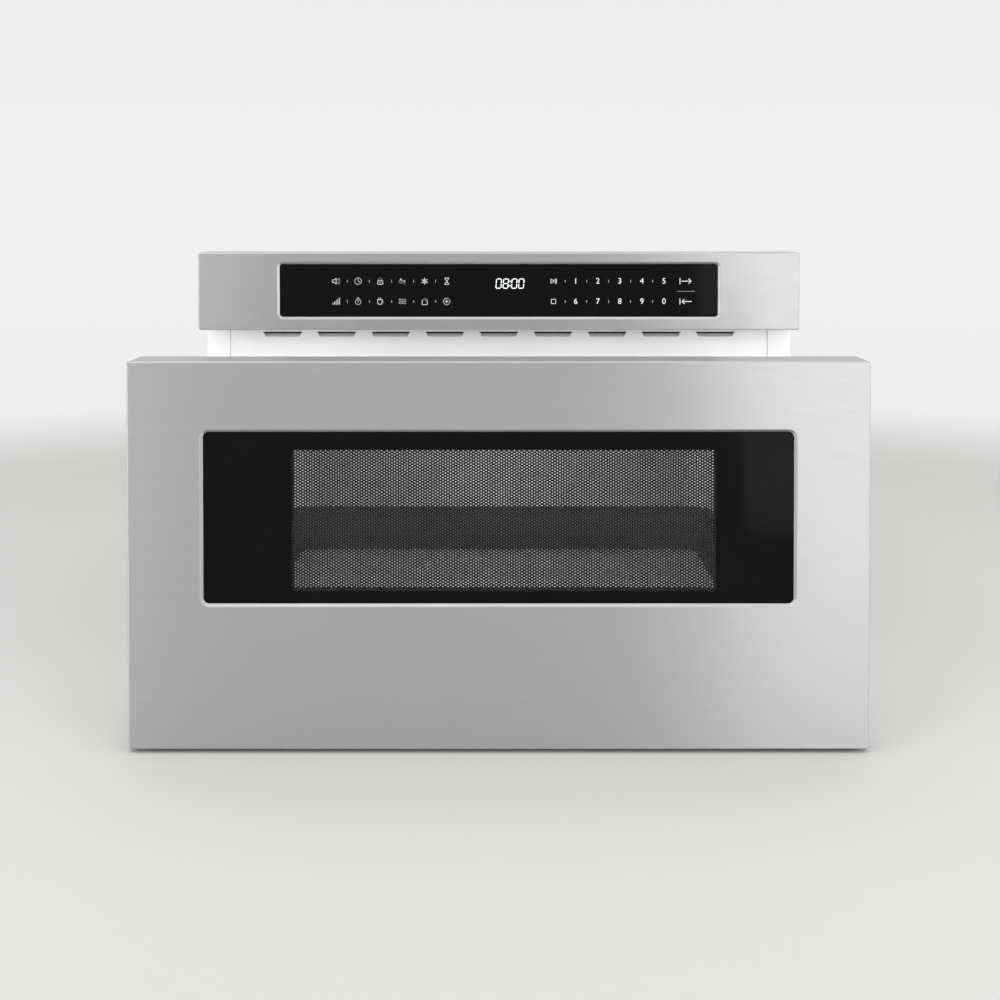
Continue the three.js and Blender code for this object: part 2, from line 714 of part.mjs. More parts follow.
function fan() {
  const low = ceiling + gap;
  const x = fanX();
  const z = fanZ;
  const hoop = fanRadius + fanTipGap;
  const frame = block(around(x, shroudWidth), from(shroudY, shroudDepth), [low, z + shroudWidth / 2]);
  const hole = alongY(disc(hoop, x, z), [shroudY - overrun, shroudY + shroudDepth - shroudWeb], 12);
  const back = [shroudY + shroudDepth - shroudWeb - overrun, shroudY + shroudDepth + overrun];
  const openings = [hole];
  for (const [sx, sz] of [[-1, -1], [-1, 1], [1, -1], [1, 1]]) {
    const port = [around(x + sx * shroudPort, shroudPortWidth), around(z + sz * shroudPort, shroudPortWidth)];
    openings.push(block(port[0], back, port[1]));
  }
  openings.push(alongY(disc(shaftRadius + 1, x, z), back, 8));
  add(part, 'fan_shroud', 'greyPlastic', cut(frame, ...openings));

  const motorY = shroudY + shroudDepth + gap;
  const can = alongY(disc(fanMotorRadius, x, z), from(motorY, fanMotorLength), 10);
  const bore = alongY(disc(shaftRadius - 1 + shaftClearance, x, z), [motorY - overrun, motorY + 12], 8);
  add(part, 'fan_motor', 'darkSteel', cut(can, bore));

  const hubY = shroudY + shroudDepth / 2 - 2;
  const spindle = alongY(disc(shaftRadius - 1), [hubY - 8, motorY + 10], 8);
  const hub = alongY(disc(fanHubRadius), around(hubY, fanHubLength), 6);
  const chord = fanBladeChord / 2;
  const thick = fanBladeThickness / 2;
  const blades = [];
  for (let i = 0; i < fanBlades; i += 1) {
    const section = outline([-chord, -thick], [chord, -thick], [chord, thick], [-chord, thick]);
    const blade = alongX(section, [fanHubRadius - 4, fanRadius - fanBladeInset]);
    blade.rotateX(0.6).rotateY((i * 2 * Math.PI) / fanBlades).translate(0, hubY, 0);
    blades.push(blade);
  }
  add(part, 'fan_wheel', 'greyPlastic', join(spindle, hub, ...blades).translate(x, 0, z));
}

function ducts() {
  const x = fanX();
  const half = magnetronWidth / 2 + ductGap + ductSheet;
  const low = feedTop + gap;
  const run = [stirrerY + magnetronDepth / 2 + gap, shroudY - gap];
  const roof = magnetronTop - filterCanHeight + ductGap + ductSheet;
  add(part, 'air_duct', 'greyPlastic', sleeve([x - half, x + half], run, [low, roof], ductSheet));
  const top = fasciaBottom + 4;
  const across = around(0, exhaustWidth);
  const deep = from(insideY, exhaustDepth);
  const high = upTo(top, exhaustHeight);
  const inside = [across[0] + ductSheet, across[1] - ductSheet];
  const end = deep[1] - ductSheet;
  const hollow = block(inside, [deep[0] - overrun, end], [high[0] + ductSheet, high[1] - ductSheet]);
  const inlets = [];
  const step = (inside[1] - inside[0] + exhaustBar) / exhaustInlets;
  for (let i = 0; i < exhaustInlets; i += 1) {
    const span = from(inside[0] + i * step, step - exhaustBar);
    inlets.push(block(span, upTo(end, exhaustInlet), [high[0] - overrun, high[0] + ductSheet + overrun]));
  }
  add(part, 'exhaust_duct', 'blackPlastic', cut(block(across, deep, high), hollow, ...inlets));
}

// ---- Rails and drive ----
// A lipped channel: its web at low, its lips at high, both measured from the rail's seat.
function channel(low, high, half, lip) {
  const t = railSheet;
  return [
    [low, -half], [high, -half], [high, -half + t + lip], [high - t, -half + t + lip],
    [high - t, -half + t], [low + t, -half + t], [low + t, half - t], [high - t, half - t],
    [high - t, half - t - lip], [high, half - t - lip], [high, half], [low, half],
  ];
}

// A hat section: its brim under the channel's lips, its crown towards the drawer.
function hat(low, high, brim, crown) {
  const t = railSheet;
  return [
    [low, -brim], [low + t, -brim], [low + t, -crown], [high, -crown], [high, crown], [low + t, crown],
    [low + t, brim], [low, brim], [low, crown - t], [high - t, crown - t], [high - t, -crown + t],
    [low, -crown + t],
  ];
}

function rails() {
  const start = cabinetY + railSetBack;
  const outerHalf = railHeight / 2;
  const middleHalf = outerHalf - middleStep;
  const lip = railLip - runningGap;
  const brim = middleHalf - middleStep;
  const crown = middleHalf - railSheet - lip - runningGap;
  for (const side of [-1, 1]) {
    const placed = (points) => outline(...points.map(([u, w]) => [side * (railSeat - u), railZ + w]));
    const name = sideName(side);
    const outer = placed(channel(0, railWidth, outerHalf, railLip));
    add(part, `${name}_rail_outer`, 'zinc', alongY(outer, from(start, railLength)));

    const middleEnd = railWidth - middleStep;
    const middle = placed(channel(middleStep, middleEnd, middleHalf, lip));
    const shifted = start - restOpening / 2;
    add(part, `${name}_rail_middle`, 'zinc', alongY(middle, from(shifted, railLength)));

    const inner = placed(hat(2 * middleStep, railDepth, brim, crown));
    const foot = doorBackY + gap;
    const bar = alongY(inner, [foot, start + railLength]);
    const reach = sided(side, bracketInner, railCrown + railSheet);
    const flange = block(reach, from(foot, bracketThickness), around(railZ, 2 * crown));
    const web = outline(
      [side * bracketInner, foot], [side * (railCrown + railSheet / 2), foot],
      [side * (railCrown + railSheet / 2), foot + 3 * bracketReach],
    );
    const gusset = alongZ(web, around(railZ, bracketThickness));
    add(drawer, `${name}_rail_inner`, 'zinc', join(bar, flange, gusset));
  }
}

const toothPitch = Math.PI * gearModule;
const pitchRadius = (gearModule * pinionTeeth) / 2;
const pinionY = cabinetY + pinionSetBack;
const meshZ = [rackBottom + (rackHeight - gearWidth) / 2, rackTop - (rackHeight - gearWidth) / 2];
const pressureAngle = (20 * Math.PI) / 180;
const dedendum = 1.25 * gearModule;

function rack() {
  const first = doorBackY + gap;
  const last = pinionY + travel + 3 * toothPitch;
  const halfTooth = (toothPitch / 2 - backlash) / 2;
  const slope = Math.tan(pressureAngle);
  const root = halfTooth + dedendum * slope;
  const tip = halfTooth - gearModule * slope;
  const points = [[-rackBack - dedendum, last], [-rackBack - dedendum, first], [-dedendum, first]];
  const phase = pinionY + restOpening; // the tooth space that faces the pinion at rest
  const toothed = Math.floor((phase - first - 20) / toothPitch);
  const count = Math.floor((last - phase) / toothPitch - 0.5) + toothed;
  for (let i = 0; i < count; i += 1) {
    const y = phase + (i - toothed + 0.5) * toothPitch;
    points.push([-dedendum, y - root], [gearModule, y - tip], [gearModule, y + tip], [-dedendum, y + root]);
  }
  points.push([-dedendum, last]);
  const bar = alongZ(outline(...points), [rackBottom, rackTop]);
  const footZ = (rackBottom + rackTop) / 2;
  const footX = -dedendum - rackBack / 2;
  const foot = block(around(footX, rackFootWidth), from(first, 2), around(footZ, rackFootHeight));
  add(drawer, 'drive_rack', 'blackPlastic', join(bar, foot));
}

// Radius and half-angle of one point on a gear tooth's involute flank.
function flankPoint(radius) {
  const base = pitchRadius * Math.cos(pressureAngle);
  const involute = (r) => {
    const angle = Math.acos(Math.min(1, base / r));
    return Math.tan(angle) - angle;
  };
  const halfPitchTooth = (toothPitch / 2 - backlash) / 2 / pitchRadius;
  return halfPitchTooth + involute(pitchRadius) - involute(Math.max(radius, base));
}

function pinionShape() {
  const rootRadius = pitchRadius - dedendum;
  const tipRadius = pitchRadius + gearModule;
  const base = pitchRadius * Math.cos(pressureAngle);
  const halfway = (radius) => (radius + pitchRadius) / 2;
  const flank = [rootRadius, base, halfway(base), pitchRadius, halfway(tipRadius), tipRadius];
  const points = [];
  for (let i = 0; i < pinionTeeth; i += 1) {
    const middle = Math.PI + (i * 2 * Math.PI) / pinionTeeth;
    const side = (radius, sign) => {
      const angle = middle + sign * flankPoint(radius);
      return [radius * Math.cos(angle), radius * Math.sin(angle)];
    };
    points.push(...flank.map((radius) => side(radius, -1)));
    points.push(...flank.toReversed().map((radius) => side(radius, 1)));
  }
  return outline(...points);
}

function drive() {
  const gearboxX = [pitchRadius - gearboxShaftInset, pitchRadius - gearboxShaftInset + gearboxWidth];
  const base = baseSheet + gap;
  const casing = block(gearboxX, around(pinionY, gearboxDepth), [base, gearboxTop]);
  const journal = disc(shaftRadius + shaftClearance, pitchRadius, pinionY);
  const bore = alongZ(journal, [gearboxTop - 12, gearboxTop + overrun], 8);
  add(part, 'drive_gearbox', 'blackPlastic', cut(casing, bore));

  const motorX = from(gearboxX[1] + gap, driveMotorLength);
  const can = alongX(disc(driveMotorRadius, pinionY, base + driveMotorRadius), motorX, 10);
  add(part, 'drive_motor', 'darkSteel', can);

  const gear = alongZ(pinionShape(), meshZ, 1);
  const spindle = alongZ(disc(shaftRadius), [gearboxTop - 11, meshZ[1] + 2], 8);
  add(part, 'drive_pinion', 'greyPlastic', join(gear, spindle).translate(pitchRadius, pinionY, 0));

  const guideX = [-rackBack - dedendum - 4, gearboxX[0] - gap];
  const guideY = around(pinionY, gearboxDepth);
  const guide = block(guideX, guideY, [base, rackTop - 3]);
  const groove = block(
    [-rackBack - dedendum - gap, guideX[1] + overrun], [guideY[0] - overrun, guideY[1] + overrun],
    [rackBottom - gap, rackTop],
  );
  add(part, 'rack_guide', 'greyPlastic', cut(guide, groove));
}

// ---- High voltage and boards ----
function highVoltage() {
  const base = baseSheet + gap;
  const x = fanX() - 5;
  const deep = around(bayMiddle, coreDepth);
  const windowWide = (coreWidth - coreLimb - 2 * coreYoke) / 2;
  const windowTall = coreHeight - 2 * coreYoke;
  const middleZ = base + coreHeight / 2;
  const windows = [-1, 1].map((side) => block(
    around(x + (side * (coreLimb + windowWide)) / 2, windowWide), [deep[0] - overrun, deep[1] + overrun],
    around(middleZ, windowTall),
  ));
  const core = block(around(x, coreWidth), deep, from(base, coreHeight));
  add(part, 'transformer_core', 'darkSteel', cut(core, ...windows));

  const fit = 2 * gap;
  const coil = block(
    around(x, coreLimb + 2 * windowWide - fit), around(bayMiddle, coreDepth + 2 * windingOverhang),
    around(middleZ, windowTall - fit),
  );
  const limb = block(
    around(x, coreLimb + fit), around(bayMiddle, coreDepth + fit), around(middleZ, windowTall + fit),
  );
  add(part, 'transformer_winding', 'copper', cut(coil, limb));

  const canX = x - coreWidth / 2 - canWidth;
  const oval = roundedRect(canWidth, canDepth, canDepth / 2.1, canX, bayMiddle);
  const can = alongZ(oval, from(base, canHeight), 6);
  const tabs = [base + canHeight - 1, base + canHeight + terminalHeight];
  const terminals = [-1, 1].map((side) => block(around(canX + side * 12, 6), around(bayMiddle, 1.6), tabs));
  add(part, 'hv_capacitor', 'zinc', join(can, ...terminals));

  const diodeX = canX - canWidth / 2 - 1.5 * diodeSize;
  const lug = block(around(diodeX, diodeSize), around(bayMiddle, 2 * diodeSize), from(base, 2));
  const bead = alongX(disc(diodeSize / 3, bayMiddle, base + 2 + diodeSize / 4), around(diodeX, diodeSize), 6);
  add(part, 'hv_diode', 'blackPlastic', join(lug, bead));
}

// A board on its own spacers, with its larger components.
function boardOnSpacers(x, y, width, depth, low, components) {
  const under = low + bossHeight;
  const top = under + boardThickness;
  const pieces = [block(around(x, width), around(y, depth), [under, top])];
  for (const [sx, sy] of [[-1, -1], [-1, 1], [1, -1], [1, 1]]) {
    const foot = disc(bossRadius, x + sx * (width / 2 - 8), y + sy * (depth / 2 - 8));
    pieces.push(alongZ(foot, [low, under + boardThickness / 2], 5));
  }
  for (const [dx, dy, w, d, h] of components) {
    pieces.push(block(around(x + dx * width, w), around(y + dy * depth, d), [top - 0.4, top + h]));
  }
  return join(...pieces);
}

function boards() {
  const low = ceiling + gap;
    const trayTopZ = low + housingWall;
  const tray = block(
    around(boardTrayX, boardTrayWidth), around(stirrerY, boardTrayDepth), from(low, boardTrayHeight),
  );
  const hollow = block(
    around(boardTrayX, boardTrayWidth - 2 * housingWall), around(stirrerY, boardTrayDepth - 2 * housingWall),
    [trayTopZ, low + boardTrayHeight + overrun],
  );
  add(part, 'board_tray', 'greyPlastic', cut(tray, hollow));
  // each component's place, as a share of the board, then its width, depth and height
  const relays = [
    [-0.25, 0.3, 18, 16, 16], [0.1, 0.3, 18, 16, 16], [-0.2, -0.25, 40, 34, 30], [0.28, 0, 22, 40, 12],
  ];
  const power = boardOnSpacers(boardTrayX, stirrerY, powerBoardWidth, powerBoardDepth, trayTopZ + gap, relays);
  add(part, 'power_board', 'board', power);
  const chokes = [[-0.2, 0, 24, 24, 22], [0.2, 0, 26, 18, 14]];
  const base = baseSheet + gap;
  const filterX = glandX + filterShift;
  const filter = boardOnSpacers(filterX, bayMiddle, filterBoardWidth, filterBoardDepth, base, chokes);
  add(part, 'filter_board', 'board', filter);
}

function lamp() {
  const low = ceiling + gap;
  const side = around(lampX, lampSide);
  const deep = around(lampY, lampSide);
  const shell = block(side, deep, from(low, lampHeight));
  const hollow = block(
    [side[0] + caseSheet, side[1] - caseSheet], [deep[0] + caseSheet, deep[1] - caseSheet],
    [low - overrun, low + lampHeight - caseSheet],
  );
  const socket = alongZ(disc(bulbRadius - 3, lampX, lampY), upTo(low + lampHeight, bulbSocket), 8);
  add(part, 'lamp_housing', 'zinc', join(cut(shell, hollow), socket));
  const neck = low + lampHeight - bulbSocket - gap;
  const profile = [
    [0, neck], [bulbNeck, neck], [bulbNeck, neck - bulbNeckLength],
    [bulbRadius, neck - bulbShoulder], [bulbRadius, neck - bulbShoulder - bulbWaist],
    [bulbCrown, neck - bulbLength + bulbDome], [0, neck - bulbLength],
  ];
  const bulb = new THREE.LatheGeometry(profile.reverse().map(([r, z]) => new THREE.Vector2(r, z)), 16);
  add(part, 'lamp_bulb', 'clearGlass', bulb.rotateX(Math.PI / 2).translate(lampX, lampY, 0));
}

// ---- Interlock ----
function interlock() {
  const foot = doorBackY + gap;
  const tip = foot + strikerReach;
  for (const side of [-1, 1]) {
    const x = side * strikerX;
    const name = sideName(side);
    const base = block(around(x, bracketReach), from(foot, 2), around(strikerZ, strikerHeight + 12));
    const hook = block(around(x, strikerWidth), [foot, tip], around(strikerZ, strikerHeight));
    add(drawer, `${name}_latch_striker`, 'blackPlastic', join(base, hook));

    const label = side > 0 ? 'secondary' : 'primary';
    const headY = tip + gap;
    const bodyY = headY + plungerHead;
    const body = block(around(x, switchWidth), from(bodyY, switchDepth), around(strikerZ, switchHeight));
    const pocketSide = plungerSide + 2 * gap;
    const pocketEnd = bodyY + plungerTravel + 3 + 2 * gap;
    const pocket = block(around(x, pocketSide), [bodyY - overrun, pocketEnd], around(strikerZ, pocketSide));
    add(part, `${label}_switch`, 'blackPlastic', cut(body, pocket));
    const plunger = block(around(x, plungerSide), [headY, bodyY + 3], around(strikerZ, plungerSide));
    add(part, `${label}_switch_plunger`, 'greyPlastic', plunger);

    const armX = strikerX + switchWidth / 2 + gap;
    const armSide = sided(side, armX, armX + baseSheet);
    const arm = block(armSide, [insideY, bodyY + switchDepth], around(strikerZ, switchHeight));
    const padSide = sided(side, armX, coverInner - 2 * gap);
    const pad = block(padSide, from(insideY, baseSheet), around(strikerZ, 2 * switchHeight));
    add(part, `${name}_switch_holder`, 'zinc', join(arm, pad));
  }
}

// ---- Drawer ----
const windowOpening = { width: windowWidth, height: windowHeight, rise: windowRise, corner: windowCorner };
const screenZ = doorBottom + screenRise + screenHeight / 2;
const frameBackY = doorBackY - gap;
const frameSheetY = frameBackY - baseSheet;

function drawerFront() {
  const height = doorTop - doorBottom;
  add(drawer, 'drawer_skin', 'stainless', pressedFront(height, doorThickness, doorBottom, windowOpening));
  const windowZ = doorBottom + windowRise + windowHeight / 2;
  const lapped = glassLap - lipBevel;
  const pane = roundedRect(windowWidth + 2 * lapped, windowHeight + 2 * lapped, windowCorner, 0, windowZ);
  const paneY = frontY + lipDepth + gap;
  add(drawer, 'window_glass', 'blackGlass', alongY(pane, from(paneY, windowGlass)));

  const screenY = frontY + screenSetBack;
  const lap = 2 * screenLap;
  const screen = roundedRect(screenWidth + lap, screenHeight + lap, screenLap, screenOffset, screenZ);
  add(drawer, 'window_screen', 'darkSteel', alongY(screen, from(screenY, screenSheet)));

  const half = frontWidth / 2 - frontSheet - gap;
  const low = doorBottom + frontSheet + gap;
  const high = doorTop - frontSheet - gap;
  const folded = [frameBackY - frameDepth, frameBackY];
  const dish = block([-half, half], folded, [low, high]);
  const hollow = block(
    [-half + baseSheet, half - baseSheet], [folded[0] - overrun, frameSheetY],
    [low + baseSheet, high - baseSheet],
  );
  const tunnelY = [screenY + screenSheet + gap, frameBackY];
  const rim = 2 * baseSheet;
  const collarCorner = screenLap + baseSheet;
  const collar = roundedRect(screenWidth + rim, screenHeight + rim, collarCorner, screenOffset, screenZ);
  const tunnel = roundedRect(screenWidth, screenHeight, screenLap, screenOffset, screenZ);
  const frame = join(cut(dish, hollow), alongY(collar, tunnelY));
  const bore = alongY(tunnel, [tunnelY[0] - overrun, tunnelY[1] + overrun]);
  add(drawer, 'door_frame', 'whitePaint', cut(frame, bore));

  const fit = 2 * gap;
  const inner = roundedRect(screenWidth - fit, screenHeight - fit, screenLap, screenOffset, screenZ);
  add(drawer, 'inner_glass', 'clearGlass', alongY(inner, upTo(frameSheetY, innerGlassThickness)));

  const clear = panOuter + panRim + panClearance / 2;
  const outer = block(around(0, 2 * (clear + bracketReach - 2)), from(doorBackY, chokeThickness), [
    panUnder - panClearance / 2 - chokeWidth, cavityTop + chokeLap + chokeWidth,
  ]);
  const mouth = block(around(0, 2 * clear), [doorBackY - 1, doorBackY + 2 * chokeThickness], [
    panUnder - panClearance / 2, cavityTop + chokeLap,
  ]);
  add(drawer, 'choke_cover', 'greyPlastic', cut(outer, mouth));
}

// A plan of the pan: square front corners, rounded back corners.
function panPlan(half, front, back, radius) {
  const shape = new THREE.Shape();
  shape.moveTo(-half, front);
  shape.lineTo(half, front);
  shape.absarc(half - radius, back - radius, radius, 0, Math.PI / 2);
  shape.absarc(-half + radius, back - radius, radius, Math.PI / 2, Math.PI);
  shape.closePath();
  return shape;
}

function drawerPan() {
  const front = doorBackY + gap;
  const insideFront = doorBackY + panSheet;
  const insideBack = doorBackY + interiorDepth;
  const rimReach = panSheet + panRim;
  const rimPlan = panPlan(panOuter + panRim, front, insideBack + rimReach, panCorner + rimReach);
  const tub = alongZ(panPlan(panOuter, front, insideBack + panSheet, panCorner + panSheet), [panUnder, panTop]);
  const rim = alongZ(rimPlan, upTo(panTop, panSheet));
  const inner = panPlan(panInner, insideFront, insideBack, panCorner);
  const hollow = alongZ(inner, [panUnder + panSheet, panTop + overrun]);
  add(drawer, 'drawer_pan', 'greyEnamel', cut(join(tub, rim), hollow));
  const trayY = doorBackY + trayFrontMargin + trayDepth / 2;
  const tray = roundedRect(trayWidth, trayDepth, trayCorner, 0, trayY);
  add(drawer, 'ceramic_tray', 'ceramic', alongZ(tray, [trayBottom, trayTop]));
}

basePan();
chassisCover();
rearPanel();
cordGland();
facePlate();
mountingFlanges();
controlPanel();
cavityShell();
stirrer();
waveguideAndMagnetron();
fan();
ducts();
rails();
rack();
drive();
highVoltage();
boards();
lamp();
interlock();
drawerFront();
drawerPan();

export default part;
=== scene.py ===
import json
import math

import bmesh
import bpy
from mathutils import Matrix, Vector

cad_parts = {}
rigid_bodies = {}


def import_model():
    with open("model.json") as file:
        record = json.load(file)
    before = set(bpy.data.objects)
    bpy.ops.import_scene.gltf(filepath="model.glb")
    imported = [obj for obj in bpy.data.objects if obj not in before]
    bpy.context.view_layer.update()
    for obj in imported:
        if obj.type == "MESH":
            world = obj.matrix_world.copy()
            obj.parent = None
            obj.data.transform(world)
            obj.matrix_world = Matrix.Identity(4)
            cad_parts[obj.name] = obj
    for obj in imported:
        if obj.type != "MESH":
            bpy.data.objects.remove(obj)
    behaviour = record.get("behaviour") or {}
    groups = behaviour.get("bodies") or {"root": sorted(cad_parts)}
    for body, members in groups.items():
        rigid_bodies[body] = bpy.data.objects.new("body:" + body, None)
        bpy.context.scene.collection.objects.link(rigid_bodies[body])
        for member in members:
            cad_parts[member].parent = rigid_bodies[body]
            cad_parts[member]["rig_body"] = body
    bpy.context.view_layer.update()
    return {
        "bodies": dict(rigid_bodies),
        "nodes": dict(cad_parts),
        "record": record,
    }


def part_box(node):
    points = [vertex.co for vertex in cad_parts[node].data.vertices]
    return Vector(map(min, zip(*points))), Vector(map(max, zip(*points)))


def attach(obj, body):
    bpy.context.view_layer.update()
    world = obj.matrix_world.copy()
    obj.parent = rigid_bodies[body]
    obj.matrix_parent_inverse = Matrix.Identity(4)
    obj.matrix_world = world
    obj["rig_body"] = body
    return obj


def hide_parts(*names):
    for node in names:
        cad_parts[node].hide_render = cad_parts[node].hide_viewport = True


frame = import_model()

nodes = frame["nodes"]
mm = 0.001
noiseLow, noiseHigh = 0.3, 0.7  # most of a noise's values lie between these
print("frame loaded:", len(nodes), "solids")


def linear(hexColour):
    # sRGB hex to the linear values that Blender's colour sockets hold
    channels = [int(hexColour[place:place + 2], 16) / 255 for place in (1, 3, 5)]
    curve = [c / 12.92 if c <= 0.04045 else ((c + 0.055) / 1.055) ** 2.4 for c in channels]
    return (*curve, 1.0)


def feed(tree, node, links):
    # links: each input's name or number, and the socket that drives it
    for name, socket in links.items():
        tree.links.new(socket, node.inputs[name])


def addNode(tree, kind, settings=None, links=None):
    # settings hold the node's own properties and its input values, links feed its inputs.
    # A mix node's inputs go by number: 0 the share, 2 and 3 plain values, 4 and 5 vectors,
    # 6 and 7 colours. Its results are 0 for plain values, 1 for vectors and 2 for colours
    node = tree.nodes.new(kind)
    for name, value in (settings or {}).items():
        if isinstance(name, str) and hasattr(node, name):
            setattr(node, name, value)
        else:
            node.inputs[name].default_value = value
    feed(tree, node, links or {})
    return node


def newMaterial(name, values):
    material = bpy.data.materials.new(name)
    material.use_nodes = True
    tree = material.node_tree
    shader = tree.nodes["Principled BSDF"]
    for socket, value in values.items():
        shader.inputs[socket].default_value = value
    return material, tree, shader


def brushedStainless():
    # 304 stainless sheet, belt brushed along its width: fine level streaks, and reflections
    # that smear upright. Real scratches are about 0.05 mm apart, drawn coarser so that they show
    look = {
        "dull": "#B0B0B0",
        "bright": "#BEBEBE",
        "streak": 1.1,
        "streakLength": 170,
        "scratch": 0.45,
        "scratchLength": 36,
        "scratchShare": 0.45,
        "roughness": (0.34, 0.42),
        "relief": 0.006,
        "levelFrom": (0.9, 0.99),
    }
    material, tree, shader = newMaterial("stainless_belt_brushed", {"Metallic": 1.0})
    texture = addNode(tree, "ShaderNodeTexCoord")
    place = addNode(tree, "ShaderNodeSeparateXYZ", links={0: texture.outputs["Object"]})
    surface = addNode(tree, "ShaderNodeNewGeometry")
    facing = addNode(tree, "ShaderNodeSeparateXYZ", links={0: surface.outputs["True Normal"]})
    level = addNode(tree, "ShaderNodeMath", {"operation": "ABSOLUTE"},
                    {0: facing.outputs["Z"]}).outputs[0]
    along = addNode(tree, "ShaderNodeMath", {"operation": "ADD"},
                    {0: place.outputs["X"], 1: place.outputs["Y"]})
    across = addNode(tree, "ShaderNodeMix", {},
                     {0: level, 2: place.outputs["Z"], 3: place.outputs["Y"]})
    layers = []
    for mark in ("streak", "scratch"):
        run = addNode(tree, "ShaderNodeMath",
                      {"operation": "DIVIDE", 1: look[f"{mark}Length"] * mm}, {0: along.outputs[0]})
        step = addNode(tree, "ShaderNodeMath",
                       {"operation": "DIVIDE", 1: look[mark] * mm}, {0: across.outputs[0]})
        point = addNode(tree, "ShaderNodeCombineXYZ", links={0: run.outputs[0], 1: step.outputs[0]})
        noise = addNode(tree, "ShaderNodeTexNoise",
                        {"noise_dimensions": "2D", "Scale": 1.0, "Detail": 2.0},
                        {"Vector": point.outputs[0]})
        layers.append(noise.outputs["Fac"])
    grain = addNode(tree, "ShaderNodeMix", {0: look["scratchShare"]},
                    {2: layers[0], 3: layers[1]}).outputs[0]
    tone = addNode(tree, "ShaderNodeMix", {
        "data_type": "RGBA", 6: linear(look["dull"]), 7: linear(look["bright"])}, {0: grain})
    rough = addNode(tree, "ShaderNodeMapRange", {
        "From Min": noiseLow, "From Max": noiseHigh,
        "To Min": look["roughness"][0], "To Max": look["roughness"][1]}, {"Value": layers[1]})
    relief = addNode(tree, "ShaderNodeBump", {"Strength": 0.6, "Distance": look["relief"] * mm},
                     {"Height": grain})
    # reflections smear upright, across the brushing. A level face is seen at a low angle, and
    # its reflections spread the same in all directions
    spread = addNode(tree, "ShaderNodeMix", {
        "data_type": "VECTOR", 4: (0.0, 0.0, 1.0), 5: (1.0, 0.0, 0.0)}, {0: level})
    oneWay = addNode(tree, "ShaderNodeMapRange", {
        "From Min": look["levelFrom"][0], "From Max": look["levelFrom"][1],
        "To Min": 1.0, "To Max": 0.0}, {"Value": level})
    feed(tree, shader, {"Base Color": tone.outputs[2], "Roughness": rough.outputs[0],
                        "Normal": relief.outputs[0], "Tangent": spread.outputs[1],
                        "Anisotropic": oneWay.outputs[0]})
    return material


def mottled(name, look, values=None):
    # two tones that drift over patches, with a fine grain for the roughness and the relief
    material, tree, shader = newMaterial(name, values or {})
    place = addNode(tree, "ShaderNodeTexCoord").outputs["Object"]
    patches = addNode(tree, "ShaderNodeTexNoise",
                      {"Scale": 1 / (look["patch"] * mm), "Detail": 3.0}, {"Vector": place})
    grain = addNode(tree, "ShaderNodeTexNoise",
                    {"Scale": 1 / (look["grain"] * mm), "Detail": 3.0}, {"Vector": place})
    spread = addNode(tree, "ShaderNodeMapRange", {"From Min": noiseLow, "From Max": noiseHigh},
                     {"Value": patches.outputs["Fac"]})
    tone = addNode(tree, "ShaderNodeMix", {
        "data_type": "RGBA", 6: linear(look["dull"]), 7: linear(look["bright"])},
        {0: spread.outputs[0]})
    both = addNode(tree, "ShaderNodeMix", {0: 0.5},
                   {2: patches.outputs["Fac"], 3: grain.outputs["Fac"]})
    rough = addNode(tree, "ShaderNodeMapRange", {
        "From Min": noiseLow, "From Max": noiseHigh,
        "To Min": look["roughness"][0], "To Max": look["roughness"][1]}, {"Value": both.outputs[0]})
    relief = addNode(tree, "ShaderNodeBump", {"Strength": 0.7, "Distance": look["relief"] * mm},
                     {"Height": grain.outputs["Fac"]})
    feed(tree, shader, {"Base Color": tone.outputs[2], "Roughness": rough.outputs[0],
                        "Normal": relief.outputs[0]})
    return material


def galvanisedSteel():
    # hot dip galvanised sheet: flat crystal spangles of slightly different greys, a few mm across
    look = {
        "dull": "#A7AAAD",
        "bright": "#BABDBF",
        "spangle": 7,
        "warp": 9,
        "warpReach": 3,
        "roughness": (0.46, 0.58),
        "relief": 0.01,
    }
    material, tree, shader = newMaterial("steel_hot_dip_galvanised", {"Metallic": 1.0})
    place = addNode(tree, "ShaderNodeTexCoord").outputs["Object"]
    warp = addNode(tree, "ShaderNodeTexNoise", {"Scale": 1 / (look["warp"] * mm), "Detail": 2.0},
                   {"Vector": place})
    nudge = addNode(tree, "ShaderNodeVectorMath",
                    {"operation": "SCALE", "Scale": look["warpReach"] * mm},
                    {0: warp.outputs["Color"]})
    bent = addNode(tree, "ShaderNodeVectorMath", {"operation": "ADD"},
                   {0: place, 1: nudge.outputs[0]})
    cells = addNode(tree, "ShaderNodeTexVoronoi", {"Scale": 1 / (look["spangle"] * mm)},
                    {"Vector": bent.outputs[0]})
    shade = addNode(tree, "ShaderNodeSeparateXYZ", links={0: cells.outputs["Color"]}).outputs["X"]
    tone = addNode(tree, "ShaderNodeMix", {
        "data_type": "RGBA", 6: linear(look["dull"]), 7: linear(look["bright"])}, {0: shade})
    rough = addNode(tree, "ShaderNodeMapRange",
                    {"To Min": look["roughness"][0], "To Max": look["roughness"][1]},
                    {"Value": shade})
    relief = addNode(tree, "ShaderNodeBump", {"Strength": 0.5, "Distance": look["relief"] * mm},
                     {"Height": warp.outputs["Fac"]})
    feed(tree, shader, {"Base Color": tone.outputs[2], "Roughness": rough.outputs[0],
                        "Normal": relief.outputs[0]})
    return material


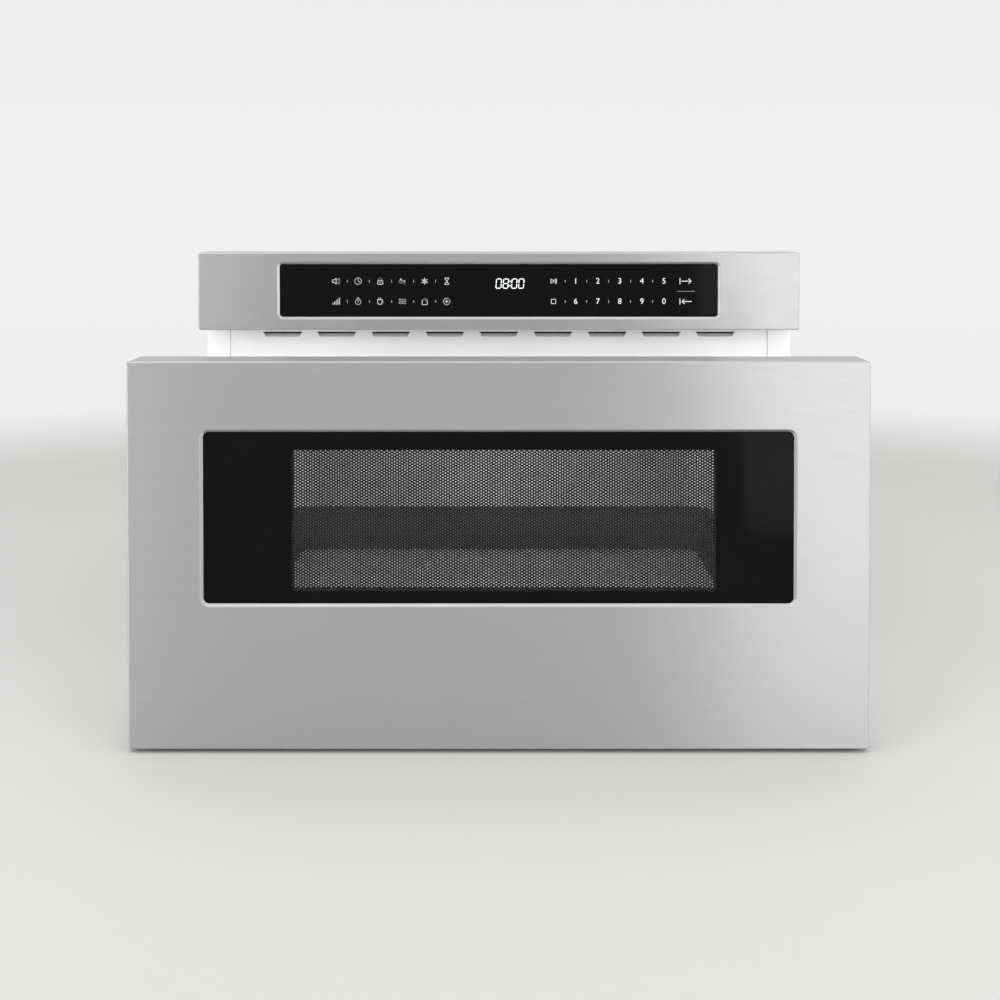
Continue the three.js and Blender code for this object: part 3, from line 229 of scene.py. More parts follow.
def clearGlass(name, look):
    # the eye sees through it, and what it mirrors is faintly uneven
    material, tree, shader = newMaterial(name, {
        "Transmission Weight": 1.0, "IOR": look["ior"], "Base Color": linear(look["colour"])})
    place = addNode(tree, "ShaderNodeTexCoord").outputs["Object"]
    film = addNode(tree, "ShaderNodeTexNoise", {"Scale": 1 / (look["smear"] * mm), "Detail": 2.0},
                   {"Vector": place})
    rough = addNode(tree, "ShaderNodeMapRange", {"To Min": 0.0, "To Max": look["roughness"]},
                    {"Value": film.outputs["Fac"]})
    feed(tree, shader, {"Roughness": rough.outputs[0]})
    return material


def circuitBoard():
    # green solder mask over copper tracks: fine square-cut lines a little lighter than the ground
    look = {
        "ground": "#1E4B34",
        "track": "#2F6B48",
        "trackShare": 0.06,
        "trackHeight": 0.03,
        "pitch": 2.4,
        "roughness": (0.3, 0.45),
    }
    material, tree, shader = newMaterial("epoxy_board_solder_masked", {"Coat Weight": 0.3})
    place = addNode(tree, "ShaderNodeTexCoord").outputs["Object"]
    unit = look["pitch"] * 4 * mm  # four rows of the brick pattern
    tracks = addNode(tree, "ShaderNodeTexBrick", {
        "Scale": 1 / unit, "Mortar Size": look["trackShare"], "Mortar": linear(look["track"]),
        "Color1": linear(look["ground"]), "Color2": linear(look["ground"])}, {"Vector": place})
    rough = addNode(tree, "ShaderNodeMapRange",
                    {"To Min": look["roughness"][0], "To Max": look["roughness"][1]},
                    {"Value": tracks.outputs["Fac"]})
    relief = addNode(tree, "ShaderNodeBump",
                     {"Strength": 0.6, "Distance": look["trackHeight"] * mm},
                     {"Height": tracks.outputs["Fac"]})
    feed(tree, shader, {"Base Color": tracks.outputs["Color"], "Roughness": rough.outputs[0],
                        "Normal": relief.outputs[0]})
    return material


def woundCopper():
    # enamelled copper wire in level turns: amber lines, with painted shade in the grooves between the
    # turns. Real turns are about
    # 0.9 mm apart, drawn coarser so that they show
    look = {"groove": "#4A2410", "wire": "#B4652E", "pitch": 5.655, "depth": 0.2, "waver": 0.4}
    material, tree, shader = newMaterial("copper_wire_enamelled", {
        "Metallic": 0.7, "Roughness": 0.35, "Coat Weight": 0.4})
    place = addNode(tree, "ShaderNodeTexCoord").outputs["Object"]
    unitBand = math.tau / 20  # how far apart the wave pattern's bands are at a scale of 1
    turns = addNode(tree, "ShaderNodeTexWave", {
        "bands_direction": "Z", "Scale": unitBand / (look["pitch"] * mm),
        "Distortion": look["waver"]}, {"Vector": place})
    # the dark groove tone is painted shade between the turns, not the wire's own colour
    tone = addNode(tree, "ShaderNodeMix", {
        "data_type": "RGBA", 6: linear(look["groove"]), 7: linear(look["wire"])},
        {0: turns.outputs["Fac"]})
    relief = addNode(tree, "ShaderNodeBump", {"Strength": 0.8, "Distance": look["depth"] * mm},
                     {"Height": turns.outputs["Fac"]})
    feed(tree, shader, {"Base Color": tone.outputs[2], "Normal": relief.outputs[0]})
    return material


materials = {
    "brushed_stainless": brushedStainless(),
    "zinc_steel": galvanisedSteel(),
    # cold drawn rail strip, bright zinc plated: a smooth bluish grey that mirrors softly
    "rail_steel": mottled("steel_bright_zinc_plated", {
        "dull": "#B0B3B8", "bright": "#BEC1C5", "patch": 18, "grain": 0.5,
        "roughness": (0.27, 0.35), "relief": 0.006}, {"Metallic": 1.0}),
    # powder coat baked on steel: an even white with the faint dimple of orange peel
    "white_paint": mottled("steel_white_powder_coated", {
        "dull": "#EEEFEF", "bright": "#F4F4F4", "patch": 70, "grain": 1.6,
        "roughness": (0.34, 0.46), "relief": 0.03}, {"Coat Weight": 0.15}),
    # grey enamel fired on steel: a smooth grey, drawn much darker than the enamel's own mid grey, so that
    # it paints the shade on the pan's walls behind the window
    "grey_enamel": mottled("steel_grey_enamel_and_painted_shade", {
        "dull": "#36383A", "bright": "#3E4042", "patch": 60, "grain": 1.8,
        "roughness": (0.3, 0.42), "relief": 0.02}, {"Coat Weight": 0.15}),
    # black glass, back printed: deep and even, with a hard clean gloss
    "black_glass": mottled("glass_back_printed_black", {
        "dull": "#090909", "bright": "#0C0C0C", "patch": 60, "grain": 6,
        "roughness": (0.03, 0.07), "relief": 0.001}, {"Specular IOR Level": 0.06}),
    # float glass: clear, with clean reflections
    "clear_glass": clearGlass("glass_float_clear", {
        "colour": "#FBFDFC", "ior": 1.5, "smear": 60, "roughness": 0.004}),
    # the sheet's black stove enamel: matt, so that only the holes catch the eye
    "screen_steel": mottled("steel_black_stove_enamelled", {
        "dull": "#090909", "bright": "#0D0D0D", "patch": 30, "grain": 0.8,
        "roughness": (0.6, 0.75), "relief": 0.01}, {"Specular IOR Level": 0.15}),
    # glass ceramic tray, fired white: a soft milky gloss
    "glazed_tray": mottled("glass_ceramic_white", {
        "dull": "#E2E3E1", "bright": "#EBEBE8", "patch": 40, "grain": 2.5,
        "roughness": (0.2, 0.3), "relief": 0.006}, {"Coat Weight": 0.1}),
    # ABS, spark eroded mould: a fine even pebble with a low sheen
    "black_plastic": mottled("abs_black_moulded", {
        "dull": "#191A1B", "bright": "#222324", "patch": 12, "grain": 0.7,
        "roughness": (0.42, 0.56), "relief": 0.03}),
    # acetal, smooth moulded: a waxy mid grey
    "grey_plastic": mottled("acetal_grey_moulded", {
        "dull": "#83868A", "bright": "#94979A", "patch": 20, "grain": 0.9,
        "roughness": (0.34, 0.46), "relief": 0.015}),
    "circuit_board": circuitBoard(),
    # varnished lamination steel: a dull bluish grey with fine edges
    "motor_steel": mottled("steel_laminated_varnished", {
        "dull": "#5C6064", "bright": "#7A7E82", "patch": 6, "grain": 0.6,
        "roughness": (0.36, 0.5), "relief": 0.03}, {"Metallic": 0.9}),
    "copper_winding": woundCopper(),
    # pressed mica: a pale gold grey with flakes that glint
    "mica_sheet": mottled("mica_pressed", {
        "dull": "#A39C88", "bright": "#C9C2AD", "patch": 5, "grain": 1.2,
        "roughness": (0.3, 0.6), "relief": 0.03}),
}
slotOf = {part["node"]: part["material_slot"] for part in frame["record"]["subparts"]}
for name, node in nodes.items():
    node.data.materials.clear()
    node.data.materials.append(materials[slotOf[name]])
print("materials set on", len(nodes), "solids")


def meshPiece(name, points, faces, slotName, body, material=None, smooth=None):
    # a new piece in the frame's own metres, shaded smooth up to the angle smooth
    mesh = bpy.data.meshes.new(name)
    mesh.from_pydata(points, [], faces)
    mesh.materials.append(material or materials[slotName])
    if smooth:
        mesh.shade_smooth()
        mesh.set_sharp_from_angle(angle=math.radians(smooth))
    mesh.update()
    item = bpy.data.objects.new(name, mesh)
    bpy.context.scene.collection.objects.link(item)
    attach(item, body)
    return item


def joined(parts):
    # several (points, faces) as one
    points, faces = [], []
    for partPoints, partFaces in parts:
        first = len(points)
        points += partPoints
        faces += [[first + index for index in face] for face in partFaces]
    return points, faces


def moved(part, matrix):
    return [tuple(matrix @ Vector(point)) for point in part[0]], part[1]


def prism(outline, low, high):
    # a flat outline of (x, z) pairs, counterclockwise seen from the front, from y = low to y = high
    count = len(outline)
    points = [(x, low, z) for x, z in outline] + [(x, high, z) for x, z in outline]
    faces = [list(range(count)), list(range(2 * count - 1, count - 1, -1))]
    for side in range(count):
        following = (side + 1) % count
        faces.append([side, side + count, following + count, following])
    return points, faces


screenField = {
    "columns": 165,
    "rows": 47,
    "columnStep": 2.088,
    "rowStep": 2.43,
    "hole": 1.26,
    "middleX": 4.5,
    "middleZ": 190.7,
    "weld": 0.0025,
}


def perforatedScreen():
    # one sheet with its real holes, in staggered columns
    look = screenField
    low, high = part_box("window_screen")
    stepX, stepZ = look["columnStep"] * mm, look["rowStep"] * mm
    radius = look["hole"] * mm / 2
    left = look["middleX"] * mm - stepX * look["columns"] / 2
    bottom = look["middleZ"] * mm - stepZ * look["rows"] / 2
    places, plan, flat, holes = {}, [], [], []
    around = ((1, 0), (1, 1), (-1, 1), (-1, 0), (-1, -1), (1, -1))
    angles = [math.atan2(dz * stepZ, dx * stepX) for dx, dz in around]

    def corner(x, z):
        # corners that fall in one square of the weld's size are the same corner
        key = (round(x / mm / look["weld"]), round(z / mm / look["weld"]))
        if key not in places:
            places[key] = len(places)
            plan.append((x, z))
        return places[key]

    def cell(x, z):
        # six corners round one hole: the two at its own height are the neighbours' too
        outer = [corner(x + dx * stepX / 2, z + dz * stepZ / 2) for dx, dz in around]
        inner = [corner(x + radius * math.cos(a), z + radius * math.sin(a)) for a in angles]
        for side in range(6):
            following = (side + 1) % 6
            flat.append([outer[side], outer[following], inner[following], inner[side]])
            holes.append((inner[side], inner[following]))

    for column in range(look["columns"]):
        x = left + stepX * (column + 0.5)
        odd = column % 2
        for row in range(look["rows"] - odd):
            cell(x, bottom + stepZ * (row + 0.5 + odd / 2))
        if odd:
            top = bottom + stepZ * look["rows"]
            for start, end in ((bottom, bottom + stepZ / 2), (top - stepZ / 2, top)):
                flat.append([corner(x - stepX / 2, start), corner(x + stepX / 2, start),
                             corner(x + stepX / 2, end), corner(x - stepX / 2, end)])
    right, top = left + stepX * look["columns"], bottom + stepZ * look["rows"]
    below = [corner(left + stepX * k, bottom) for k in range(look["columns"] + 1)]
    above = [corner(left + stepX * k, top) for k in range(look["columns"] + 1)]
    atLeft = [corner(left, bottom + stepZ * k / 2) for k in range(2 * look["rows"] + 1)]
    atRight = [corner(right, bottom + stepZ * k / 2) for k in range(2 * look["rows"] + 1)]
    border = [corner(low.x, low.z), corner(high.x, low.z),
              corner(high.x, high.z), corner(low.x, high.z)]
    flat.append([border[0], border[1]] + below[::-1])
    flat.append([border[1], border[2]] + atRight[::-1])
    flat.append([border[2], border[3]] + above)
    flat.append([border[3], border[0]] + atLeft)
    count = len(plan)
    points = [(x, y, z) for y in (low.y, high.y) for x, z in plan]
    faces = flat + [[index + count for index in reversed(face)] for face in flat]
    edges = holes + [(border[(k + 1) % 4], border[k]) for k in range(4)]
    faces += [[a, b, b + count, a + count] for a, b in edges]
    item = meshPiece("perforated_window_screen", points, faces, "screen_steel", "drawer")
    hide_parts("window_screen")
    print("screen holes:", len(holes) // 6)


perforatedScreen()


def arc(x, z, radius, start, end, steps=10):
    angles = [math.radians(start + (end - start) * k / steps) for k in range(steps + 1)]
    return [(x + radius * math.cos(a), z + radius * math.sin(a)) for a in angles]


def roundedOutline(left, right, bottom, top, radius, steps=6):
    outline = []
    for x, z, start in ((right - radius, top - radius, 0), (left + radius, top - radius, 90),
                        (left + radius, bottom + radius, 180), (right - radius, bottom + radius, 270)):
        outline += arc(x, z, radius, start, start + 90, steps)
    return outline


def frameBand(outer, inner, low, high):
    # a flat band between two outlines with as many points, from y = low to y = high
    count = len(outer)
    points = [(x, y, z) for y in (low, high) for outline in (outer, inner) for x, z in outline]
    faces = []
    for side in range(count):
        following = (side + 1) % count
        faces.append([side, following, count + following, count + side])
        faces.append([2 * count + following, 2 * count + side, 3 * count + side, 3 * count + following])
        faces.append([following, side, 2 * count + side, 2 * count + following])
        faces.append([count + side, count + following, 3 * count + following, 3 * count + side])
    return points, faces


def windowPane():
    # one pane: its border is printed black behind, and its clear field shows the screen
    look = {"fieldMargin": 1.0, "fieldCorner": 1.0, "corner": 6, "edge": 0.02}
    low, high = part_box("window_glass")
    outer = roundedOutline(low.x, high.x, low.z, high.z, look["corner"] * mm)
    middleX, middleZ = screenField["middleX"], screenField["middleZ"]
    halfX = screenField["columns"] * screenField["columnStep"] / 2 + look["fieldMargin"]
    halfZ = screenField["rows"] * screenField["rowStep"] / 2 + look["fieldMargin"]
    field = roundedOutline((middleX - halfX) * mm, (middleX + halfX) * mm,
                           (middleZ - halfZ) * mm, (middleZ + halfZ) * mm, look["fieldCorner"] * mm)
    border = meshPiece("window_printed_border", *frameBand(outer, field, low.y, high.y),
                       "black_glass", "drawer")
    inset = look["edge"] * mm
    clear = [(x - inset if x > middleX * mm else x + inset, z - inset if z > middleZ * mm else z + inset)
             for x, z in field]
    # tempered glass with a coating that dims what it mirrors, so its IOR is below that of glass
    coated = clearGlass("glass_tempered_coated", {
        "colour": "#F2F4F3", "ior": 1.25, "smear": 80, "roughness": 0.004})
    meshPiece("window_clear_field", *prism(clear, low.y, high.y), "clear_glass", "drawer", coated)
    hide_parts("window_glass")


windowPane()
print("window done")


def printedLines(paths, middleX, middleZ, scale, width):
    # one thin bar for each step of each path, with square ends that lap at the joints
    parts = []
    for path in paths:
        for (x0, z0), (x1, z1) in zip(path, path[1:]):
            start = Vector(((middleX + x0 * scale) * mm, (middleZ + z0 * scale) * mm))
            end = Vector(((middleX + x1 * scale) * mm, (middleZ + z1 * scale) * mm))
            along = (end - start).normalized() * width * mm / 2
            side = Vector((-along.y, along.x))
            outline = (start - along - side, end + along - side, end + along + side, start - along + side)
            parts.append(prism([(point.x, point.y) for point in outline], inkFront, inkBack))
    return parts


# key pictures, each about two units across, in place of words
keyPictures = {
    "speaker": [[(-1, -0.35), (-0.5, -0.35), (0, -0.8), (0, 0.8), (-0.5, 0.35), (-1, 0.35),
                 (-1, -0.35)], arc(0, 0, 0.6, -50, 50), arc(0, 0, 1.0, -50, 50)],
    "clock": [arc(0, 0, 0.9, 0, 360, 20), [(0, 0.55), (0, 0), (0.4, -0.25)]],
    "padlock": [[(-0.7, -0.85), (0.7, -0.85), (0.7, 0.1), (-0.7, 0.1), (-0.7, -0.85)],
                [(-0.42, 0.1), (-0.42, 0.45)] + arc(0, 0.45, 0.42, 180, 0) + [(0.42, 0.1)],
                [(0, -0.5), (0, -0.25)]],
    "drops": [[(-0.45, 0.7)] + arc(-0.45, -0.15, 0.38, 150, 390) + [(-0.45, 0.7)],
              [(0.5, 0.3)] + arc(0.5, -0.4, 0.3, 150, 390) + [(0.5, 0.3)]],
    "snow": [arc(0, 0, 0.9, turn, turn + 180, 1) for turn in (30, 90, 150)]
            + [arc(0, 0, 0.5, 0, 360, 6)],
    "hourglass": [[(-0.6, 0.85), (0.6, 0.85), (-0.6, -0.85), (0.6, -0.85), (-0.6, 0.85)]],
    "levels": [[(x, -0.8), (x, -0.45 + 0.35 * k)] for k, x in enumerate((-0.9, -0.45, 0, 0.45, 0.9))],
    "timer": [arc(0, -0.1, 0.75, 0, 360, 18), [(0, -0.1), (0, 0.35)],
              [(-0.25, 0.95), (0.25, 0.95)], [(0, 0.95), (0, 0.65)]],
    "cup": [[(-0.8, 0.5), (-0.6, -0.75), (0.35, -0.75), (0.55, 0.5), (-0.8, 0.5)],
            arc(0.55, 0, 0.35, 80, -80), [(-0.35, 0.7), (-0.35, 0.95)], [(0.1, 0.7), (0.1, 0.95)]],
    "waves": [[(-0.9 + 0.18 * k, z + 0.14 * math.sin(k * 1.26)) for k in range(11)]
              for z in (-0.5, 0, 0.5)],
    "bag": [[(-0.6, 0.4), (-0.75, -0.85), (0.75, -0.85), (0.6, 0.4)], arc(-0.4, 0.45, 0.25, 200, 0),
            arc(0.05, 0.6, 0.27, 200, -20), arc(0.45, 0.45, 0.25, 180, -20)],
    "more": [arc(0, 0, 0.9, 60, 390, 16), [(-0.4, 0), (0.4, 0)], [(0, -0.4), (0, 0.4)]],
    "start": [[(-0.7, -0.6), (-0.7, 0.6), (0.2, 0), (-0.7, -0.6)],
              [(0.45, -0.6), (0.45, 0.6)], [(0.8, -0.6), (0.8, 0.6)]],
    "stop": [[(-0.6, -0.6), (0.6, -0.6), (0.6, 0.6), (-0.6, 0.6), (-0.6, -0.6)]],
    "out": [[(-1.6, -0.75), (-1.6, 0.75)], [(-1.1, 0), (1.5, 0)], [(0.8, 0.6), (1.5, 0), (0.8, -0.6)]],
    "in": [[(-1.6, -0.75), (-1.6, 0.75)], [(-1.1, 0), (1.5, 0)],
           [(-0.4, 0.6), (-1.1, 0), (-0.4, -0.6)]],
}

# fired white ink on the touch glass: a dull white. Real ink is 0.02 mm thick, this is 0.1 mm
inkLook = {
    "dull": "#DADADA",
    "bright": "#E6E6E6",
    "patch": 20,
    "grain": 0.4,
    "roughness": (0.4, 0.5),
    "relief": 0.005,
    "thick": 0.1,
    "gap": 0.005,
}
ink = mottled("ceramic_ink_fired_white", inkLook)
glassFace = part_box("control_glass")[0].y
inkFront, inkBack = glassFace - inkLook["thick"] * mm, glassFace - inkLook["gap"] * mm
keyRows = (373.4, 352.9)  # the heights of the middles of the two rows of keys


def controlLegends():
    # the key pictures, the upright ticks between the keys and the line between the two door keys
    look = {
        "line": 0.5,
        "boldLine": 0.7,
        "pictureScale": 3.7,
        "leftKeys": (-164.1, -142.0, -119.6, -97.2, -74.8, -52.5),
        "leftPictures": (("speaker", "clock", "padlock", "drops", "snow", "hourglass"),
                         ("levels", "timer", "cup", "waves", "bag", "more")),
        "ticks": (-152.9, -130.6, -108.2, -85.9, -63.7, 66.9, 88.7, 110.8, 133.0, 155.3),
        "tickHeight": 2.2,
        "tickLine": 0.3,
        "startX": 55.2,
        "doorX": 188.7,
        "dividerZ": 363.1,
        "dividerWidth": 18,
        "dividerLine": 0.18,
    }
    tick = [[(0, -look["tickHeight"] / 2), (0, look["tickHeight"] / 2)]]
    divider = [[(-look["dividerWidth"] / 2, 0), (look["dividerWidth"] / 2, 0)]]
    parts = []
    for row, z in enumerate(keyRows):
        for x, picture in zip(look["leftKeys"], look["leftPictures"][row]):
            parts += printedLines(keyPictures[picture], x, z, look["pictureScale"], look["line"])
        for x in look["ticks"]:
            parts += printedLines(tick, x, z, 1, look["tickLine"])
        for x, picture, width in ((look["startX"], ("start", "stop")[row], look["line"]),
                                  (look["doorX"], ("out", "in")[row], look["boldLine"])):
            parts += printedLines(keyPictures[picture], x, z, look["pictureScale"], width)
    parts += printedLines(divider, look["doorX"], look["dividerZ"], 1, look["dividerLine"])
    meshPiece("control_legends", *joined(parts), "black_glass", "casing", ink)


def keyNumbers():
    # the plain numbers, cut from the built-in typeface
    look = {"columns": (77.6, 99.9, 122.1, 144.4, 166.7), "digits": ("12345", "67890"), "size": 8.0}
    upright = Matrix.Rotation(math.pi / 2, 4, "X")
    for row, z in enumerate(keyRows):
        for x, digit in zip(look["columns"], look["digits"][row]):
            text = bpy.data.curves.new("digit", "FONT")
            text.body = digit
            text.size = look["size"] * mm
            text.align_x, text.align_y = "CENTER", "CENTER"
            text.extrude = inkLook["thick"] * mm / 2
            holder = bpy.data.objects.new("digit", text)
            bpy.context.scene.collection.objects.link(holder)
            bpy.context.view_layer.update()
            shown = holder.evaluated_get(bpy.context.evaluated_depsgraph_get())
            mesh = bpy.data.meshes.new_from_object(shown)
            bpy.data.objects.remove(holder)
            mesh.transform(Matrix.Translation((x * mm, (inkFront + inkBack) / 2, z * mm)) @ upright)
            mesh.materials.clear()
            mesh.materials.append(ink)
            item = bpy.data.objects.new(f"key_number_{digit}", mesh)
            bpy.context.scene.collection.objects.link(item)
            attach(item, "casing")


def clockBars():
    # the clock: four seven-bar figures that lean a little, and the colon
    look = {
        "colour": "#D8DCDC",
        "glow": "#F2F6F6",
        "strength": 0.7,
        "middleX": 11.3,
        "middleZ": 371.0,
        "figureX": (-11.4, -4.3, 4.3, 11.4),
        "across": 5.0,
        "rise": 4.7,
        "levelBar": (3.9, 0.8),
        "uprightBar": (0.8, 3.8),
        "colonZ": 2.2,
        "colonDot": 1.2,
        "lean": 0.09,
    }
    # each bar's middle, in shares of the figure's width and of half its height
    bars = {"a": (0, 1), "b": (0.5, 0.5), "c": (0.5, -0.5), "d": (0, -1),
            "e": (-0.5, -0.5), "f": (-0.5, 0.5), "g": (0, 0)}
    lit = {"0": "abcdef", "8": "abcdefg"}
    # lit display bars: a soft even white that glows a little
    glow = newMaterial("display_bars_lit", {
        "Emission Strength": look["strength"], "Emission Color": linear(look["glow"]),
        "Roughness": 0.4, "Base Color": linear(look["colour"])})[0]

    def bar(figureX, x, z, size, lean):
        right, up = size[0] / 2, size[1] / 2
        corners = ((x - right, z - up), (x + right, z - up), (x + right, z + up), (x - right, z + up))
        return prism([((look["middleX"] + figureX + cx + lean * cz) * mm,
                       (look["middleZ"] + cz) * mm) for cx, cz in corners], inkFront, inkBack)

    parts = []
    for figureX, figure in zip(look["figureX"], "0800"):
        for letter in lit[figure]:
            size = look["levelBar"] if letter in "adg" else look["uprightBar"]
            parts.append(bar(figureX, bars[letter][0] * look["across"],
                             bars[letter][1] * look["rise"], size, look["lean"]))
    for z in (-look["colonZ"], look["colonZ"]):
        parts.append(bar(look["lean"] * z, 0, z, (look["colonDot"], look["colonDot"]), 0))
    meshPiece("clock_bars", *joined(parts), "black_glass", "casing", glow)


controlLegends()
keyNumbers()
clockBars()
print("legends done")


finishes = {
    # for each solid: how far its edges are eased, then the box edges that are folds and their radius
    "control_fascia": (0.2,),
    "drawer_skin": (0.2,),
    "left_mounting_flange": (0.2, ("front right",), 1.0),
    "right_mounting_flange": (0.2, ("front left",), 1.0),
    "chassis_cover": (0.2, ("top left", "top right"), 1.4),
    "base_pan": (0.2, ("bottom left", "bottom right"), 1.4),
    "rear_panel": (0.2,),
    "door_frame": (0.3,),
    "drawer_pan": (0.3,),
    "ceramic_tray": (1.2,),
    "choke_cover": (0.4,),
    "inner_glass": (0.4,),
    "control_glass": (0.3,),
    "left_rail_inner": (0.25,),
    "right_rail_inner": (0.25,),
    "left_rail_middle": (0.25,),
    "right_rail_middle": (0.25,),
    "left_rail_outer": (0.25,),
    "right_rail_outer": (0.25,),
    "drive_rack": (0.2,),
    "left_latch_striker": (0.3,),
    "right_latch_striker": (0.3,),
}


def finished(name, easing, folds=(), foldRadius=0):
    # a solid of the frame again, with its flat faces whole, its folds round and its edges eased
    look = {"weld": 0.003, "flat": 0.3, "sharp": 35, "near": 0.02, "wide": 0.5, "steps": 3, "smooth": 50}
    low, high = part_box(name)
    sides = {"left": (0, low.x), "right": (0, high.x), "front": (1, low.y), "rear": (1, high.y),
             "bottom": (2, low.z), "top": (2, high.z)}
    shape = bmesh.new()
    shape.from_mesh(nodes[name].data)
    bmesh.ops.remove_doubles(shape, verts=shape.verts, dist=look["weld"] * mm)
    bmesh.ops.dissolve_limit(shape, angle_limit=math.radians(look["flat"]), verts=shape.verts,
                             edges=shape.edges)

    def lies(edge, side):
        axis, place = sides[side]
        return all(abs(corner.co[axis] - place) < look["near"] * mm for corner in edge.verts)

    def ease(edges, radius, steps):
        bmesh.ops.bevel(shape, geom=edges, offset=radius * mm, segments=steps, profile=0.5,
                        affect="EDGES", clamp_overlap=True)

    folded = [edge for edge in shape.edges
              if any(all(lies(edge, side) for side in fold.split()) for fold in folds)]
    if folded:
        ease(folded, foldRadius, look["steps"])
    sharp = [edge for edge in shape.edges if edge.is_manifold and edge.is_convex
             and edge.calc_face_angle() > math.radians(look["sharp"])]
    ease(sharp, easing, 1 if easing < look["wide"] else look["steps"])
    mesh = bpy.data.meshes.new(f"{name}_finished")
    shape.to_mesh(mesh)
    shape.free()
    mesh.materials.clear()
    mesh.materials.append(materials[slotOf[name]])
    mesh.shade_smooth()
    mesh.set_sharp_from_angle(angle=math.radians(look["smooth"]))
    item = bpy.data.objects.new(f"{name}_finished", mesh)
    bpy.context.scene.collection.objects.link(item)
    flats = item.modifiers.new("flat_faces", "WEIGHTED_NORMAL")
    flats.keep_sharp = True
    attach(item, nodes[name]["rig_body"])
    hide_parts(name)


for name, finish in finishes.items():
    finished(name, *finish)
print("edges eased on", len(finishes), "pieces")


def screwHead(radius, height):
    # a pan head with a cross recess, its underside at 0 and its axis along Z
    sides = 16
    recess = 0.75
    # each ring: its share of the radius, its share of the height, and whether the cross sinks it
    rings = ((1.0, 0.0, False), (1.0, 0.45, False), (0.86, 0.85, False), (0.6, 1.0, False),
             (0.52, 1.0, True), (0.2, 0.97, True))
    points, faces = [], []
    for share, rise, crossed in rings:
        for side in range(sides):
            angle = math.tau * side / sides
            sunk = recess if crossed and side % 4 == 0 else 0
            points.append((radius * share * math.cos(angle), radius * share * math.sin(angle),
                           height * (rise - sunk)))
    points += [(0, 0, height * (1 - recess)), (0, 0, 0)]
    for side in range(sides):
        following = (side + 1) % sides
        for ring in range(len(rings) - 1):
            low = ring * sides
            faces.append([low + side, low + following, low + sides + following, low + sides + side])
        last = (len(rings) - 1) * sides
        faces.append([last + side, last + following, len(points) - 2])
        faces.append([following, side, len(points) - 1])
    return points, faces


def screwSet(name, places, outward, radius, height, body):
    # the same screw at every place, its head towards outward, each turned further than the last
    turn = Vector(outward).to_track_quat("Z", "Y").to_matrix().to_4x4()
    furtherTurn = 0.7
    parts = []
    for index, place in enumerate(places):
        lay = Matrix.Translation(Vector(place) * mm) @ turn @ Matrix.Rotation(furtherTurn * index, 4, "Z")
        parts.append(moved(screwHead(radius * mm, height * mm), lay))
    meshPiece(name, *joined(parts), "rail_steel", body, smooth=40)


def casingScrews():
    look = {
        "inset": 13,
        "sideY": (-205, -70, 65, 200),
        "sideZ": (95, 190, 285),
        "topX": (-230, -115, 0, 115, 230),
        "rearX": (-120, 0, 120),
        "rearZ": (130, 245),
        "radius": 3.9,
        "height": 1.9,
    }
    low, high = (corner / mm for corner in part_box("chassis_cover"))
    rear, front, inset = high.y, low.y, look["inset"]
    radius, height = look["radius"], look["height"]
    for side, word in ((-1, "left"), (1, "right")):
        wall = high.x * side
        places = [(wall, y, low.z + inset) for y in look["sideY"]]
        places += [(wall, rear - inset, z) for z in look["sideZ"]]
        screwSet(f"{word}_cover_screws", places, (side, 0, 0), radius, height, "casing")
    places = [(x, y, high.z) for x in look["topX"] for y in (rear - inset, front + 2 * inset)]
    screwSet("top_cover_screws", places, (0, 0, 1), radius, height, "casing")
    backLow, backHigh = (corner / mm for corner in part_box("rear_panel"))
    rows = (backLow.z + inset, backHigh.z - inset)
    places = [(x, backHigh.y, z) for x in (backLow.x + inset, backHigh.x - inset)
              for z in (rows[0], *look["rearZ"], rows[1])]
    places += [(x, backHigh.y, z) for x in look["rearX"] for z in rows]
    screwSet("rear_panel_screws", places, (0, 1, 0), radius, height, "casing")


def drawerScrews():
    look = {
        "frameX": (-285, 285),
        "frameZ": (26, 118, 212, 302),
        "betweenX": (-170, -60, 60, 170),
        "betweenZ": (24, 302),
        "radius": 3.4,
        "height": 1.6,
        "footThickness": 2,
        "footInset": 3,
        "footRadius": 2.3,
        "footHeight": 0.45,
    }
    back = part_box("door_frame")[1].y / mm
    places = [(x, back, z) for x in look["frameX"] for z in look["frameZ"]]
    places += [(x, back, z) for x in look["betweenX"] for z in look["betweenZ"]]
    screwSet("door_frame_screws", places, (0, 1, 0), look["radius"], look["height"], "drawer")
    for word in ("left", "right"):
        low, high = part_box(f"{word}_latch_striker")
        middle = (low.x + high.x) / 2 / mm
        places = [(middle, low.y / mm + look["footThickness"], z)
                  for z in (low.z / mm + look["footInset"], high.z / mm - look["footInset"])]
        screwSet(f"{word}_striker_screws", places, (0, 1, 0), look["footRadius"],
                 look["footHeight"], "drawer")


def bead(start, end, width, height):
    # a pressed stiffening bead: a low rounded bar with round ends, lying on z = 0
    start, end = Vector(start), Vector(end)
    along = (end - start).normalized()
    side = Vector((-along.y, along.x, 0))
    points, faces = [], []
    rows = ((1.0, 0.0), (0.8, 0.45), (0.5, 0.82), (0.18, 1.0))  # shares of half the width and of the height
    steps = 8
    for share, rise in rows:
        for middle, turn in ((end, 1), (start, -1)):
            for k in range(steps + 1):
                angle = math.pi * k / steps
                reach = (side * math.cos(angle) + along * math.sin(angle)) * turn
                points.append(tuple(middle + reach * share * width / 2 + Vector((0, 0, rise * height))))
    count = 2 * (steps + 1)
    for row in range(len(rows) - 1):
        low, high = row * count, (row + 1) * count
        for k in range(count):
            following = (k + 1) % count
            faces.append([low + k, low + following, high + following, high + k])
    faces.append([(len(rows) - 1) * count + k for k in range(count)])
    faces.append(list(reversed(range(count))))
    return points, faces


